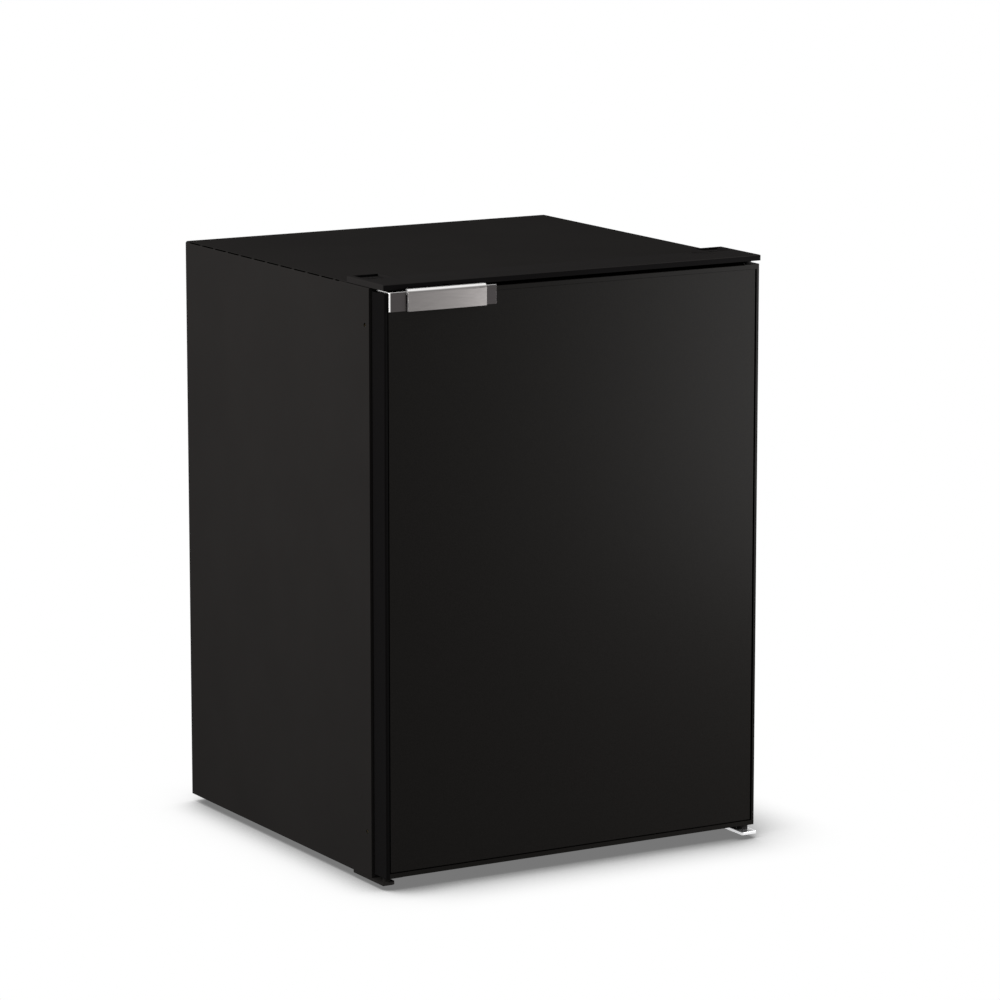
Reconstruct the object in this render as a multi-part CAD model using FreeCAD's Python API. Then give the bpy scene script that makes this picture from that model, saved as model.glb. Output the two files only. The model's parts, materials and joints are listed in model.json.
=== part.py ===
import FreeCAD, Part
import math
import os

# Marine refrigerator, front door hinged on the right, cooling unit in a niche at the rear bottom.
# Millimetres. +X is to the right of someone facing the door, +Y to the back, +Z up.
# The origin is on the floor, at the middle of the whole object's box.

V = FreeCAD.Vector

# Overall size: over the casing, from the door's front to the back, from the floor to the top trim
WIDTH = 450.0
DEPTH = 440.0
HEIGHT = 625.0
FOOT_HEIGHT = 8.0
GRIP_PROUD = 9.0

# Clearances: running shafts, sliding or swinging neighbours, fixed pieces beside each other
FIT = 0.06
CLEAR = 0.4
SEAT = 0.1

# Sheet metal and insulated walls
SHEET = 1.0
BEND = 2.5
FLANGE = 26.0
SIDE_WALL = 32.0
FLOOR_WALL = 32.0
ROOF_WALL = 34.0
BACK_WALL = 40.0
LINER = 2.0
LINER_ROUND = 10.0

# Slots along the two top bends
SLOT_LENGTH = 24.7
SLOT_PITCH = 30.0
SLOT_WIDTH = 1.6
SLOT_DEPTH = 3.5
BACKING_WIDTH = 2.8
SLOT_FIRST = 9.0
SLOT_STOP = 17.0

# Fixing holes near the front of each side
FIXING_RADIUS = 2.0
FIXING_BEHIND_FACE = 9.0
FIXING_LOW = 47.0
FIXING_FROM_TOP = 39.0
FIXING_POCKET = 18.0

# Machine niche at the rear bottom, and the insulated step over it
NICHE_DEPTH = 168.0
NICHE_HEIGHT = 185.0
NICHE_SIDE = 25.0
STEP_WALL = 32.0

# Air slots in the base pan
AIR_SLOTS = 6
AIR_SLOT_WIDTH = 6.0
AIR_SLOT_MARGIN = 10.0

# Upright beads pressed into the back panel
BEAD_COUNT = 4
BEAD_WIDTH = 18.0
BEAD_DEPTH = 2.5
BEAD_MARGIN = 40.0

# Rear grille
GRILLE = 2.5
LOUVRE_HEIGHT = 7.0
LOUVRE_PITCH = 14.0
LOUVRE_WIDTH = 150.0
LOUVRE_MARGIN = 22.0
LOUVRE_SLANT = 4.0
GLAND_RADIUS = 6.0
GLAND_FROM_SIDE = 45.0
GLAND_UP = 12.0
GLAND_WALL = 2.0
GLAND_RIM = 1.5

# Feet
FOOT_RADIUS = 14.0
FOOT_TAPER = 2.0
FOOT_FROM_SIDE = 55.0
FOOT_FROM_FACE = 60.0
FOOT_FROM_BACK = 45.0

# Top trim
TRIM_HEIGHT = 6.0
TRIM_DEPTH = 76.5
TRIM_FLAT = 26.0
TRIM_TAIL = 2.4
TRIM_ROUND = 1.2
BLOCK_WIDTH = 37.0
POCKET_WIDTH = 28.5
POCKET_LENGTH = 30.0
POCKET_DEPTH = 2.4
POCKET_BEHIND = 2.0
POCKET_BESIDE = 2.0

# Door
DOOR_THICK = 25.5
GASKET_GAP = 4.0
DOOR_SIDE_GAP = 1.5
DOOR_BELOW = 5.0
DOOR_ABOVE = 3.5
DOOR_ROUND = 1.5
STILE = 18.0
RAIL = 20.0
RAIL_LIP = 5.0
STILE_LIP = 3.5
PANEL = 2.0
PANEL_SUNK = 0.8
PANEL_SIDE_GAP = 1.6
PANEL_LOW_GAP = 1.0
PANEL_TOP_GAP = 0.3
DYKE_FROM_CAVITY = 6.0
DYKE_WIDTH = 22.0
DYKE_DEPTH = 18.0
DYKE_FROM_END = 12.0
DYKE_OUTER_ROUND = 16.0
DYKE_INNER_ROUND = 8.0
DYKE_EDGE = 3.5

# Gasket
GASKET_WIDTH = 14.0
GASKET_FOOT = 1.2
GASKET_TUBE = 9.0
GASKET_FROM_EDGE = 15.0
DART_WIDTH = 3.0
DART_DEPTH = 4.0
GASKET_ROUND = 1.0

# Hinges
PIVOT_IN = 9.0
PIVOT_BEHIND = 9.0
PIN_RADIUS = 3.5
PIN_REACH = 14.0
COLLAR_RADIUS = 5.5
BUSH_WALL = 1.2
BUSH_BEYOND = 2.0
HINGE_PLATE = 2.5
HINGE_WIDTH = 18.0
HINGE_LENGTH = 66.5
HINGE_FROM_SIDE = 1.0
LOWER_PLATE = 3.0
LOWER_FRONT = 8.0
LOWER_SHIFT = 2.0
LOWER_REACH = 39.0
LOWER_ROUND = 1.5
BRACKET_WIDTH = 15.0
BRACKET_SETBACK = 5.0
BRACKET_ROUND = 5.0

# Screws
SCREW_RADIUS = 2.0
SCREW_HEAD_RADIUS = 4.0
SCREW_HEAD = 1.6
SCREW_LENGTH = 14.0
SCREW_SPACING = 15.6
SCREW_MARGIN = 18.0

# Handle: base, lever and latch
BASE_WIDTH = 123.0
BASE_LOW = 18.0
BASE_PROUD = 4.0
BASE_FROM_EDGE = 4.0
BASE_ROUND = 2.8
BASE_EDGE = 1.0
FLANGE_DEPTH = 22.5
FLANGE_THICK = 1.8
GRIP_WIDTH = 90.5
GRIP_FROM_EDGE = 23.0
GRIP_RISE = 4.2
GRIP_DROP = 0.2
GRIP_THICK = 2.5
GRIP_BOW = 1.0
GRIP_ROUND = 4.5
CAP_THICK = 4.0
LEVER_THROW = 18.0
KNUCKLE_RADIUS = 1.9
LEVER_PIN_RADIUS = 1.0
LEVER_PIVOT_PROUD = 2.3
LEVER_PIVOT_DROP = 0.5
WELL_DEPTH = 19.5
WELL_WALL = 1.5
WELL_LOW = 17.5
WELL_MARGIN = 2.0
TAIL_REACH = 15.0
TAIL_DROP = 2.5
TAIL_THICK = 1.8
TAIL_WIDTH = 4.0
NOSE_RADIUS = 1.5
BOLT_WIDTH = 8.0
BOLT_THICK = 6.0
BOLT_RISE = 1.6
BOLT_ROOM = 1.5
STRIKE = 0.8
STRIKE_FRONT = 3.0
STRIKE_BEYOND = 2.0
STRIKE_BESIDE = 1.0
SPRING_LEAF = 0.5

# Door bins
BIN_DEPTH = 66.0
BIN_WALL = 2.0
BIN_SIDE_GAP = 2.0
UPPER_BIN_LOW = 315.0
UPPER_BIN_HEIGHT = 80.0
LOWER_BIN_LOW = 138.0
LOWER_BIN_HEIGHT = 112.0
BIN_FRONT_DROP = 14.0
BIN_LEAN = 8.0
BIN_ROUND = 8.0
LUG = 10.0

# Evaporator, freezer frame and flap
EVAP_FROM_SIDE = 10.0
EVAP_WIDTH = 278.0
EVAP_DROP = 13.0
EVAP_HEIGHT = 117.0
EVAP_SETBACK = 125.5
EVAP_BEHIND = 34.5
EVAP_WALL = 1.6
EVAP_ROUND = 10.0
CHANNEL_RADIUS = 1.5
CHANNEL_PASSES = 5
CHANNEL_PITCH = 19.0
CHANNEL_MARGIN = 20.0
CHANNEL_LOW = 15.0
HANGER_RADIUS = 6.0
HANGER_INSET = 30.0
FRAME_OVER = 4.0
FRAME_BAR = 12.0
FRAME_DEPTH = 12.0
FLAP_THICK = 8.0
FLAP_PIN_RADIUS = 2.5
FLAP_PIN_REACH = 5.0
FLAP_GRIP = 3.0
FLAP_GRIP_WIDTH = 60.0
FLAP_GRIP_HEIGHT = 6.0
FLAP_GRIP_UP = 4.0
FLAP_BORDER = 14.0
FLAP_SUNK = 1.6

# Drip tray under the evaporator
TRAY_DEPTH = 15.0
TRAY_WALL = 1.6
TRAY_RIM = 6.0
HOOK_WALL = 1.6
HOOK_HANG = 12.0
HOOK_INSET = 12.0

# Thermostat and lamp
THERMO_GAP = 24.0
THERMO_HEIGHT = 40.0
THERMO_LENGTH = 130.0
THERMO_SETBACK = 142.0
THERMO_OFF_WALL = 3.0
THERMO_ROUND = 6.0
KNOB_RADIUS = 15.0
KNOB_DEPTH = 13.0
KNOB_SHAFT = 3.0
KNOB_SHAFT_LENGTH = 12.0
KNOB_BAR = 6.0
KNOB_BAR_LENGTH = 25.5
LENS_THICK = 4.0
LENS_MARGIN = 10.0
LENS_LENGTH = 60.0
SENSOR_RADIUS = 1.5
BULB_RADIUS = 2.2
BULB_LENGTH = 60.0
LEAD_IN = 4.0

# Shelves
SHELF_SETBACK = 82.0
SHELF_BACK_GAP = 4.0
SHELF_SIDE_GAP = 4.0
LOWER_SHELF = 222.0
UPPER_SHELF = 312.0
WIRE_RADIUS = 1.5
FRAME_WIRE_RADIUS = 2.5
FRAME_WIRE_BEND = 12.0
WIRE_PITCH = 25.0
RETAINER_RISE = 18.0
LEDGE_WIDTH = 9.0
LEDGE_HEIGHT = 7.0

# Crisper, its cover and the ice tray
CRISPER_SETBACK = 65.5
CRISPER_HALF = 165.0
CRISPER_HEIGHT = 108.0
CRISPER_WALL = 2.2
CRISPER_BACK_GAP = 5.0
CRISPER_ROUND = 6.0
CRISPER_LIP = 9.0
CRISPER_TAPER = 5.0
CRISPER_LOWER = 0.3
COVER_THICK = 4.0
COVER_UP = 116.0
COVER_SETBACK = 70.5
COVER_GAP = 1.0
ICE_ROWS = 2
ICE_CELL = 28.0
ICE_RIB = 3.0
ICE_TAPER = 3.0
ICE_HEIGHT = 34.0
ICE_WALL = 2.0

# Compressor and electronics
COMP_FROM_BACK = 89.0
COMP_RADIUS = 58.0
COMP_HEIGHT = 120.0
COMP_SEAM = 3.0
COMP_DOME = 24.0
COMP_FOOT = 3.0
COMP_FOOT_LENGTH = 124.0
COMP_FOOT_WIDTH = 104.0
GROMMET_RADIUS = 9.0
GROMMET_HEIGHT = 13.0
STUB_RADIUS = 5.0
STUB_LENGTH = 6.0
SUCTION_ASIDE = 25.0
SUCTION_BEHIND = 20.0
UNIT_WIDTH = 33.0
UNIT_HEIGHT = 76.0
UNIT_LENGTH = 104.0
UNIT_GAP = 5.0
UNIT_FROM_COIL = 14.0
UNIT_FIN = 3.0
UNIT_FIN_DEPTH = 8.0
TERMINAL_DEPTH = 10.0

# Condenser, shroud and fan
SHROUD_FROM_WALL = 24.0
SHROUD_WIDTH = 136.0
SHROUD_HEIGHT = 143.0
SHROUD_LENGTH = 57.0
SHROUD_WALL = 1.2
FAN_SIZE = 120.0
FAN_THICK = 25.0
FAN_FROM_BACK = 14.5
FAN_BORE = 56.0
FAN_TIP = 52.0
FAN_HUB = 18.0
FAN_HUB_LENGTH = 14.0
FAN_BLADES = 7
FAN_SHAFT = 2.0
FAN_SHAFT_LENGTH = 5.0
FAN_CORNER = 6.0
FAN_HUB_SUNK = 2.0
BLADE_THICK = 1.6
BLADE_ROOT = 16.0
BLADE_ROOT_PITCH = 42.0
BLADE_TIP = 26.0
BLADE_TIP_PITCH = 24.0
STRUT_WIDTH = 8.0
STRUT_THICK = 4.0
FIN_COUNT = 10
FIN_THICK = 0.8
FIN_MARGIN = 8.0
COIL_RADIUS = 3.0
COIL_PASSES = 4
COIL_PITCH = 25.0
COIL_LOW = 32.0
COIL_OUT = 12.0
COIL_BEND = 10.0

# Refrigerant lines
LINE_RADIUS = 3.0
SUCTION_RADIUS = 4.0
CAPILLARY_RADIUS = 1.5
LINE_BEND = 8.0
LIQUID_BEND = 5.6
LINE_FROM_BACK = 19.5
LINE_ROOM = 0.5
LOOP_RISE = 28.0
DRIER_RADIUS = 7.0
DRIER_NECK = 10.0
DRIER_FIT = 0.5
DRIER_LENGTH = 80.0
DRIER_LOW = 52.0
DRIER_FROM_FRONT = 13.5
CAPILLARY_FROM_COIL = 20.0
SUCTION_RISE = 24.0
SUCTION_UP = 45.0
CAPILLARY_UP = 25.0

# Planes and edges that follow from the sizes above
HALF = WIDTH / 2
DOOR_FRONT = (GRIP_PROUD - DEPTH) / 2
BACK = DOOR_FRONT + DEPTH
DOOR_BACK = DOOR_FRONT + DOOR_THICK
FACE = DOOR_BACK + GASKET_GAP
BASE = FOOT_HEIGHT
ROOF = HEIGHT - TRIM_HEIGHT
INNER = HALF - SHEET
CAVITY_HALF = HALF - SIDE_WALL
FLOOR = BASE + FLOOR_WALL
CEILING = ROOF - ROOF_WALL
CAVITY_BACK = BACK - BACK_WALL
NICHE_FRONT = BACK - NICHE_DEPTH
NICHE_TOP = BASE + NICHE_HEIGHT
NICHE_HALF = HALF - NICHE_SIDE
FIXING_LEVELS = (BASE + FIXING_LOW, ROOF - FIXING_FROM_TOP)
PAN_TOP = BASE + SHEET
STEP_FRONT = NICHE_FRONT - STEP_WALL
STEP_TOP = NICHE_TOP + STEP_WALL
TRIM_BACK = DOOR_FRONT + TRIM_DEPTH
DOOR_HALF = HALF - DOOR_SIDE_GAP
DOOR_LOW = BASE + DOOR_BELOW
DOOR_HIGH = ROOF - DOOR_ABOVE
PIVOT_X = DOOR_HALF - PIVOT_IN
PIVOT_Y = DOOR_FRONT + PIVOT_BEHIND
DYKE_HALF = CAVITY_HALF - DYKE_FROM_CAVITY
DYKE_LOW = FLOOR + DYKE_FROM_END
DYKE_HIGH = CEILING - DYKE_FROM_END
BIN_HALF = DYKE_HALF - DYKE_WIDTH - BIN_SIDE_GAP
HANDLE_LEFT = BASE_FROM_EDGE - DOOR_HALF
HANDLE_RIGHT = HANDLE_LEFT + BASE_WIDTH
GRIP_LEFT = GRIP_FROM_EDGE - DOOR_HALF
GRIP_RIGHT = GRIP_LEFT + GRIP_WIDTH
GRIP_MIDDLE = (GRIP_LEFT + GRIP_RIGHT) / 2
HANDLE_LOW = DOOR_HIGH - BASE_LOW
HANDLE_TOP = DOOR_HIGH + FLANGE_THICK
LEVER_Y = DOOR_FRONT - LEVER_PIVOT_PROUD
LEVER_Z = DOOR_HIGH - LEVER_PIVOT_DROP
WELL_BACK = DOOR_FRONT + WELL_DEPTH
WELL_FLOOR = DOOR_HIGH - WELL_LOW
NOSE_Y = LEVER_Y + TAIL_REACH
NOSE_Z = LEVER_Z - TAIL_DROP
THROW = math.radians(LEVER_THROW)
BOLT_TRAVEL = TAIL_REACH * math.sin(THROW) - TAIL_DROP * (1 - math.cos(THROW))
BOLT_TOP = ROOF + BOLT_RISE
BOLT_LOW = WELL_FLOOR + WELL_WALL + BOLT_TRAVEL + BOLT_ROOM
BOLT_Y = (NOSE_Y - BOLT_THICK / 2, NOSE_Y + BOLT_THICK / 2)
EVAP_LEFT = EVAP_FROM_SIDE - CAVITY_HALF
EVAP_RIGHT = EVAP_LEFT + EVAP_WIDTH
EVAP_TOP = CEILING - EVAP_DROP
EVAP_LOW = EVAP_TOP - EVAP_HEIGHT
EVAP_FRONT = FACE + EVAP_SETBACK
EVAP_BACK = CAVITY_BACK - EVAP_BEHIND
MOUTH_X = (EVAP_LEFT - FRAME_OVER + FRAME_BAR, EVAP_RIGHT + FRAME_OVER - FRAME_BAR)
MOUTH_Z = (EVAP_LOW - FRAME_OVER + FRAME_BAR, EVAP_TOP + FRAME_OVER - FRAME_BAR)
FLAP_Y = EVAP_FRONT - FRAME_DEPTH + FLAP_THICK / 2
FLAP_Z = MOUTH_Z[1] - CLEAR - FLAP_THICK / 2
THERMO_LEFT = EVAP_RIGHT + THERMO_GAP
THERMO_RIGHT = CAVITY_HALF - THERMO_OFF_WALL
THERMO_LOW = CEILING - THERMO_HEIGHT
THERMO_FRONT = FACE + THERMO_SETBACK
KNOB_X = (THERMO_LEFT + THERMO_RIGHT) / 2
KNOB_Z = (THERMO_LOW + CEILING) / 2
SHELF_HALF = CAVITY_HALF - SHELF_SIDE_GAP
SHELF_FRONT = FACE + SHELF_SETBACK
SHELF_BACK = CAVITY_BACK - SHELF_BACK_GAP
COVER_FRONT = FACE + COVER_SETBACK
COVER_LOW = FLOOR + COVER_UP
CRISPER_FRONT = FACE + CRISPER_SETBACK
CRISPER_BACK = STEP_FRONT - CRISPER_BACK_GAP
SHROUD_RIGHT = NICHE_HALF - SHROUD_FROM_WALL
SHROUD_LEFT = SHROUD_RIGHT - SHROUD_WIDTH
COIL_START = SHROUD_LEFT - COIL_OUT
UNIT_RIGHT = COIL_START - UNIT_FROM_COIL
UNIT_LEFT = UNIT_RIGHT - UNIT_WIDTH
COMP_X = UNIT_LEFT - UNIT_GAP - max(COMP_RADIUS + COMP_SEAM, COMP_FOOT_LENGTH / 2)
COMP_Y = BACK - COMP_FROM_BACK
COMP_LOW = PAN_TOP + GROMMET_HEIGHT
COMP_TOP = COMP_LOW + COMP_FOOT + COMP_HEIGHT
UNIT_BACK = COMP_Y + COMP_FOOT_WIDTH / 2
FAN_BACK = BACK - FAN_FROM_BACK
FAN_FRONT = FAN_BACK - FAN_THICK
SHROUD_FRONT = FAN_FRONT - SHROUD_LENGTH
SHROUD_TOP = PAN_TOP + SHROUD_HEIGHT
FAN_X = (SHROUD_LEFT + SHROUD_RIGHT) / 2
FAN_Z = PAN_TOP + SHROUD_HEIGHT / 2
COIL_Y = SHROUD_FRONT + (SHROUD_LENGTH - FIN_MARGIN) / 2
COIL_TOP = BASE + COIL_LOW + (COIL_PASSES - 1) * COIL_PITCH
LINE_Y = BACK - LINE_FROM_BACK
DRIER_Y = NICHE_FRONT + DRIER_FROM_FRONT
SUCTION_X = COMP_X + SUCTION_ASIDE
SUCTION_Z = EVAP_LOW + SUCTION_UP
CAPILLARY_X = COIL_START - CAPILLARY_FROM_COIL
CAPILLARY_Z = EVAP_LOW + CAPILLARY_UP


# Small tools for solids

def both(half):
    """The pair of limits of something centred on zero."""
    return (-half, half)


def block(x, y, z):
    """A box from its limits along X, Y and Z."""
    return Part.makeBox(x[1] - x[0], y[1] - y[0], z[1] - z[0], V(x[0], y[0], z[0]))


def rod(radius, start, end):
    """A cylinder between two points."""
    start = V(*start)
    reach = V(*end) - start
    return Part.makeCylinder(radius, reach.Length, start, reach)


def prism(corners, reach):
    """A prism from an outline of corner points, drawn out along a vector."""
    points = [V(*corner) for corner in corners]
    return Part.Face(Part.makePolygon(points + points[:1])).extrude(V(*reach))


def fuse(shapes):
    """One solid from touching solids."""
    return shapes[0].multiFuse(shapes[1:]).removeSplitter()


def cut(shape, tools):
    """A solid less a list of others."""
    return shape.cut(list(tools))


def mirrored(shape):
    """The other-hand copy, across the middle plane."""
    return shape.mirror(V(0, 0, 0), V(1, 0, 0))


def fillet(shape, radius, wanted):
    """Rounds the edges whose middle point and direction satisfy a test."""
    edges = []
    for edge in shape.Edges:
        middle = edge.valueAt((edge.FirstParameter + edge.LastParameter) / 2)
        along = edge.tangentAt((edge.FirstParameter + edge.LastParameter) / 2)
        if wanted(middle, along):
            edges.append(edge)
    return shape.makeFillet(radius, edges)


def near(one, other):
    """Whether two lengths are the same place."""
    return abs(one - other) < 1e-4


def along_y(direction):
    """Whether a direction runs from front to back."""
    return abs(direction.y) > 0.999


def along_z(direction):
    """Whether a direction is upright."""
    return abs(direction.z) > 0.999


def along_x(direction):
    """Whether a direction runs from side to side."""
    return abs(direction.x) > 0.999


def frame_ring(x, z, width, y):
    """A flat rectangular ring: outer limits, bar width, limits in depth."""
    hole_x = (x[0] + width, x[1] - width)
    hole_z = (z[0] + width, z[1] - width)
    return block(x, y, z).cut(block(hole_x, (y[0] - 1, y[1] + 1), hole_z))


def route(points, bend):
    """Straight runs joined by tangent arcs."""
    edges = []
    here = V(*points[0])
    for before, corner, after in zip(points, points[1:], points[2:]):
        corner = V(*corner)
        into = (corner - V(*before)).normalize()
        out = (V(*after) - corner).normalize()
        half_turn = into.getAngle(out) / 2
        start = corner - into * (bend * math.tan(half_turn))
        end = corner + out * (bend * math.tan(half_turn))
        middle = corner + (out - into).normalize() * (bend / math.cos(half_turn) - bend)
        edges.append(Part.LineSegment(here, start).toShape())
        edges.append(Part.Arc(start, middle, end).toShape())
        here = end
    edges.append(Part.LineSegment(here, V(*points[-1])).toShape())
    return Part.Wire(edges)


def pipe(points, radius, bend):
    """A round bar along a route."""
    start = V(*points[0])
    section = Part.Wire(Part.makeCircle(radius, start, V(*points[1]) - start))
    return route(points, bend).makePipeShell([section], True, False)


def tapered(x, y, z, inset):
    """A box drawn in by one amount on all four sides towards its bottom."""
    across = [(x[0] + inset, y[0], z[0]), (x[1] - inset, y[0], z[0]), (x[1], y[0], z[1]), (x[0], y[0], z[1])]
    deep = [(x[0], y[0] + inset, z[0]), (x[0], y[1] - inset, z[0]), (x[0], y[1], z[1]), (x[0], y[0], z[1])]
    return prism(across, (0, y[1] - y[0], 0)).common(prism(deep, (x[1] - x[0], 0, 0)))


def open_box(x, y, z, wall):
    """A box with its top open."""
    inside = block((x[0] + wall, x[1] - wall), (y[0] + wall, y[1] - wall), (z[0] + wall, z[1] + 1))
    return block(x, y, z).cut(inside)


# Places that several pieces share

def suction_points():
    """From the evaporator's back down to the compressor's dome."""
    dome_y = COMP_Y + SUCTION_BEHIND
    turn_z = suction_end() + SUCTION_RISE
    return [
        (SUCTION_X, EVAP_BACK, SUCTION_Z),
        (SUCTION_X, LINE_Y, SUCTION_Z),
        (SUCTION_X, LINE_Y, turn_z),
        (SUCTION_X, dome_y, turn_z),
        (SUCTION_X, dome_y, suction_end()),
    ]


def suction_end():
    """Height of the suction stub's open end."""
    return COMP_TOP + STUB_LENGTH


def capillary_points():
    """From the drier's top to the evaporator's back."""
    drier_top = BASE + DRIER_LOW + DRIER_LENGTH
    turn_z = drier_top + 2 * LINE_BEND
    return [
        (CAPILLARY_X, DRIER_Y, drier_top),
        (CAPILLARY_X, DRIER_Y, turn_z),
        (CAPILLARY_X, LINE_Y, turn_z),
        (CAPILLARY_X, LINE_Y, CAPILLARY_Z),
        (CAPILLARY_X, EVAP_BACK, CAPILLARY_Z),
    ]


def line_rooms():
    """The channels that the two lines to the evaporator need through walls and foam."""
    suction = pipe(suction_points(), SUCTION_RADIUS + LINE_ROOM, LINE_BEND)
    capillary = pipe(capillary_points(), CAPILLARY_RADIUS + LINE_ROOM, LINE_BEND)
    return [suction, capillary]


def trim_screw_places():
    """Middles of the two screw pockets."""
    x = HALF - BLOCK_WIDTH + POCKET_BESIDE + POCKET_WIDTH / 2
    y = TRIM_BACK - POCKET_BEHIND - POCKET_LENGTH / 2
    return [(-x, y), (x, y)]


def plate_screw_places():
    """Two screws in each of the plates below the cabinet."""
    rows = (FACE + FLANGE / 2, FACE + FLANGE / 2 + SCREW_SPACING)
    columns = (BRACKET_WIDTH / 2 - HALF, PIVOT_X)
    return [(x, y) for x in columns for y in rows]


def grille_screw_places():
    """One screw at each corner of the rear grille, beside the niche."""
    x = (INNER + NICHE_HALF) / 2
    rows = (PAN_TOP + SCREW_MARGIN, NICHE_TOP - SCREW_MARGIN)
    return [(side, z) for side in (-x, x) for z in rows]


def fixing_holes(radius, depth):
    """The fixing holes in both sides, as rods of one radius and depth."""
    rods = []
    for side in (-1, 1):
        for z in FIXING_LEVELS:
            y = FACE + FIXING_BEHIND_FACE
            rods.append(rod(radius, (side * (HALF + 1), y, z), (side * (HALF - depth), y, z)))
    return rods


def screw_shanks(radius):
    """The screws' shanks, as rods of one radius."""
    trim_top = HEIGHT - POCKET_DEPTH
    rods = [rod(radius, (x, y, trim_top), (x, y, trim_top - SCREW_LENGTH)) for x, y in trim_screw_places()]
    low = BASE - LOWER_PLATE
    rods += [rod(radius, (x, y, low), (x, y, low + SCREW_LENGTH)) for x, y in plate_screw_places()]
    seat = BACK - SCREW_HEAD
    rods += [rod(radius, (x, seat, z), (x, seat - SCREW_LENGTH, z)) for x, z in grille_screw_places()]
    return rods


# Cabinet shell

def bend_bars(radii, y, width):
    """A bar along each top bend, square to it, between two distances from the bend's centre line."""
    bar = block(radii, y, both(width / 2))
    bar.rotate(V(0, 0, 0), V(0, 1, 0), -45)
    bar.translate(V(HALF - BEND, 0, ROOF - BEND))
    return [bar, mirrored(bar)]


def slot_row():
    """Blind slots along both top bends."""
    tools = []
    start = BACK - SLOT_FIRST
    stop = TRIM_BACK + SLOT_STOP
    while start - stop > SLOT_WIDTH:
        end = max(start - SLOT_LENGTH, stop)
        tools += bend_bars((BEND - SLOT_DEPTH, BEND + SHEET), (end, start), SLOT_WIDTH)
        start -= SLOT_PITCH
    return tools


def slot_backing():
    """Bars behind both top bends that close the slots towards the foam."""
    radii = (BEND - SLOT_DEPTH - SHEET, BEND - SHEET / 2)
    return bend_bars(radii, (FACE + SHEET, BACK - SHEET), BACKING_WIDTH)


def casing():
    """Wrapper folded over both sides and the top, with a flange turned in at the front."""
    outer = block(both(HALF), (FACE, BACK), (BASE, ROOF))
    outer = fillet(outer, BEND, lambda p, d: along_y(d) and near(p.z, ROOF))
    inner = block(both(INNER), (FACE + SHEET, BACK + SHEET), (BASE - SHEET, ROOF - SHEET))
    inner = fillet(inner, BEND - SHEET, lambda p, d: along_y(d) and near(p.z, ROOF - SHEET))
    opening = block(both(HALF - FLANGE), (FACE - SHEET, FACE + 2 * SHEET), (BASE - SHEET, ROOF - FLANGE))
    holes = fixing_holes(FIXING_RADIUS, 2 * SHEET) + screw_shanks(SCREW_RADIUS + SEAT)
    shell = fuse([cut(outer, [inner, opening])] + slot_backing())
    return cut(shell, slot_row() + holes)


def bead_row(width, y):
    """The back panel's beads as round-ended bars of one width, between two depths."""
    bars = []
    levels = (NICHE_TOP + BEAD_MARGIN, ROOF - BEAD_MARGIN)
    for i in range(BEAD_COUNT):
        x = (2 * i + 1 - BEAD_COUNT) * INNER / BEAD_COUNT
        bar = block((x - width / 2, x + width / 2), y, levels)
        bars.append(fuse([bar] + [rod(width / 2, (x, y[0], z), (x, y[1], z)) for z in levels]))
    return bars


def back_panel():
    """Sheet over the back, above the grille, stiffened by beads pressed inwards."""
    sheet = block(both(INNER), (BACK - SHEET, BACK), (NICHE_TOP, ROOF - SHEET))
    sheet = fillet(sheet, BEND - SHEET, lambda p, d: along_y(d) and near(p.z, ROOF - SHEET))
    beads = bead_row(BEAD_WIDTH, (BACK - BEAD_DEPTH - SHEET, BACK))
    return cut(fuse([sheet] + beads), bead_row(BEAD_WIDTH - 2 * SHEET, (BACK - BEAD_DEPTH, BACK + 1)))


def base_pan():
    """Floor sheet with a front flange and air slots below the cooling unit."""
    sheet = block(both(INNER), (FACE + SHEET, BACK), (BASE, PAN_TOP))
    lip = block(both(HALF - FLANGE), (FACE, FACE + SHEET), (BASE, BASE + FLANGE))
    floor_edge = block(both(HALF - FLANGE), (FACE, FACE + 2 * SHEET), (BASE, PAN_TOP))
    slots = []
    slot_y = (NICHE_FRONT + AIR_SLOT_MARGIN, SHROUD_FRONT - AIR_SLOT_MARGIN)
    for i in range(AIR_SLOTS):
        x = SHROUD_LEFT + SHROUD_WIDTH * (i + 0.5) / AIR_SLOTS
        slots.append(block((x - AIR_SLOT_WIDTH / 2, x + AIR_SLOT_WIDTH / 2), slot_y, (BASE - 1, PAN_TOP + 1)))
    return cut(fuse([sheet, lip, floor_edge]), slots + screw_shanks(SCREW_RADIUS + SEAT))


def niche_block():
    """The whole space of the machine niche."""
    return block(both(NICHE_HALF), (NICHE_FRONT, BACK), (PAN_TOP, NICHE_TOP))


def niche_shell():
    """Sheet tub that keeps the foam out of the machine niche."""
    inside_x = both(NICHE_HALF - SHEET)
    inside = block(inside_x, (NICHE_FRONT + SHEET, BACK + 1), (PAN_TOP - 1, NICHE_TOP - SHEET))
    tub = block(both(NICHE_HALF), (NICHE_FRONT, BACK - GRILLE), (PAN_TOP, NICHE_TOP))
    return cut(tub, [inside] + line_rooms())


def cavity(grow):
    """The space inside the liner, or with a wall's thickness added the liner's outside."""
    x = both(CAVITY_HALF + grow)
    z = (FLOOR - grow, CEILING + grow)
    space = block(x, (FACE - 1, CAVITY_BACK + grow), z)
    space = fillet(space, LINER_ROUND + grow, lambda p, d: along_y(d))
    step = block(both(HALF), (STEP_FRONT + grow, BACK), (BASE, STEP_TOP - grow))
    return space.cut(step)


def ledges():
    """Moulded ledges on both side walls that carry the shelves and the glass cover."""
    bars = []
    rows = [(FLOOR + level, SHELF_FRONT, CAVITY_BACK) for level in (LOWER_SHELF, UPPER_SHELF)]
    rows.append((COVER_LOW, COVER_FRONT, STEP_FRONT))
    for z, front, rear in rows:
        x = (CAVITY_HALF - LEDGE_WIDTH, CAVITY_HALF + LINER / 2)
        bar = block(x, (front, rear + LINER / 2), (z - LEDGE_HEIGHT, z))
        bars += [bar, mirrored(bar)]
    return bars


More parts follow.
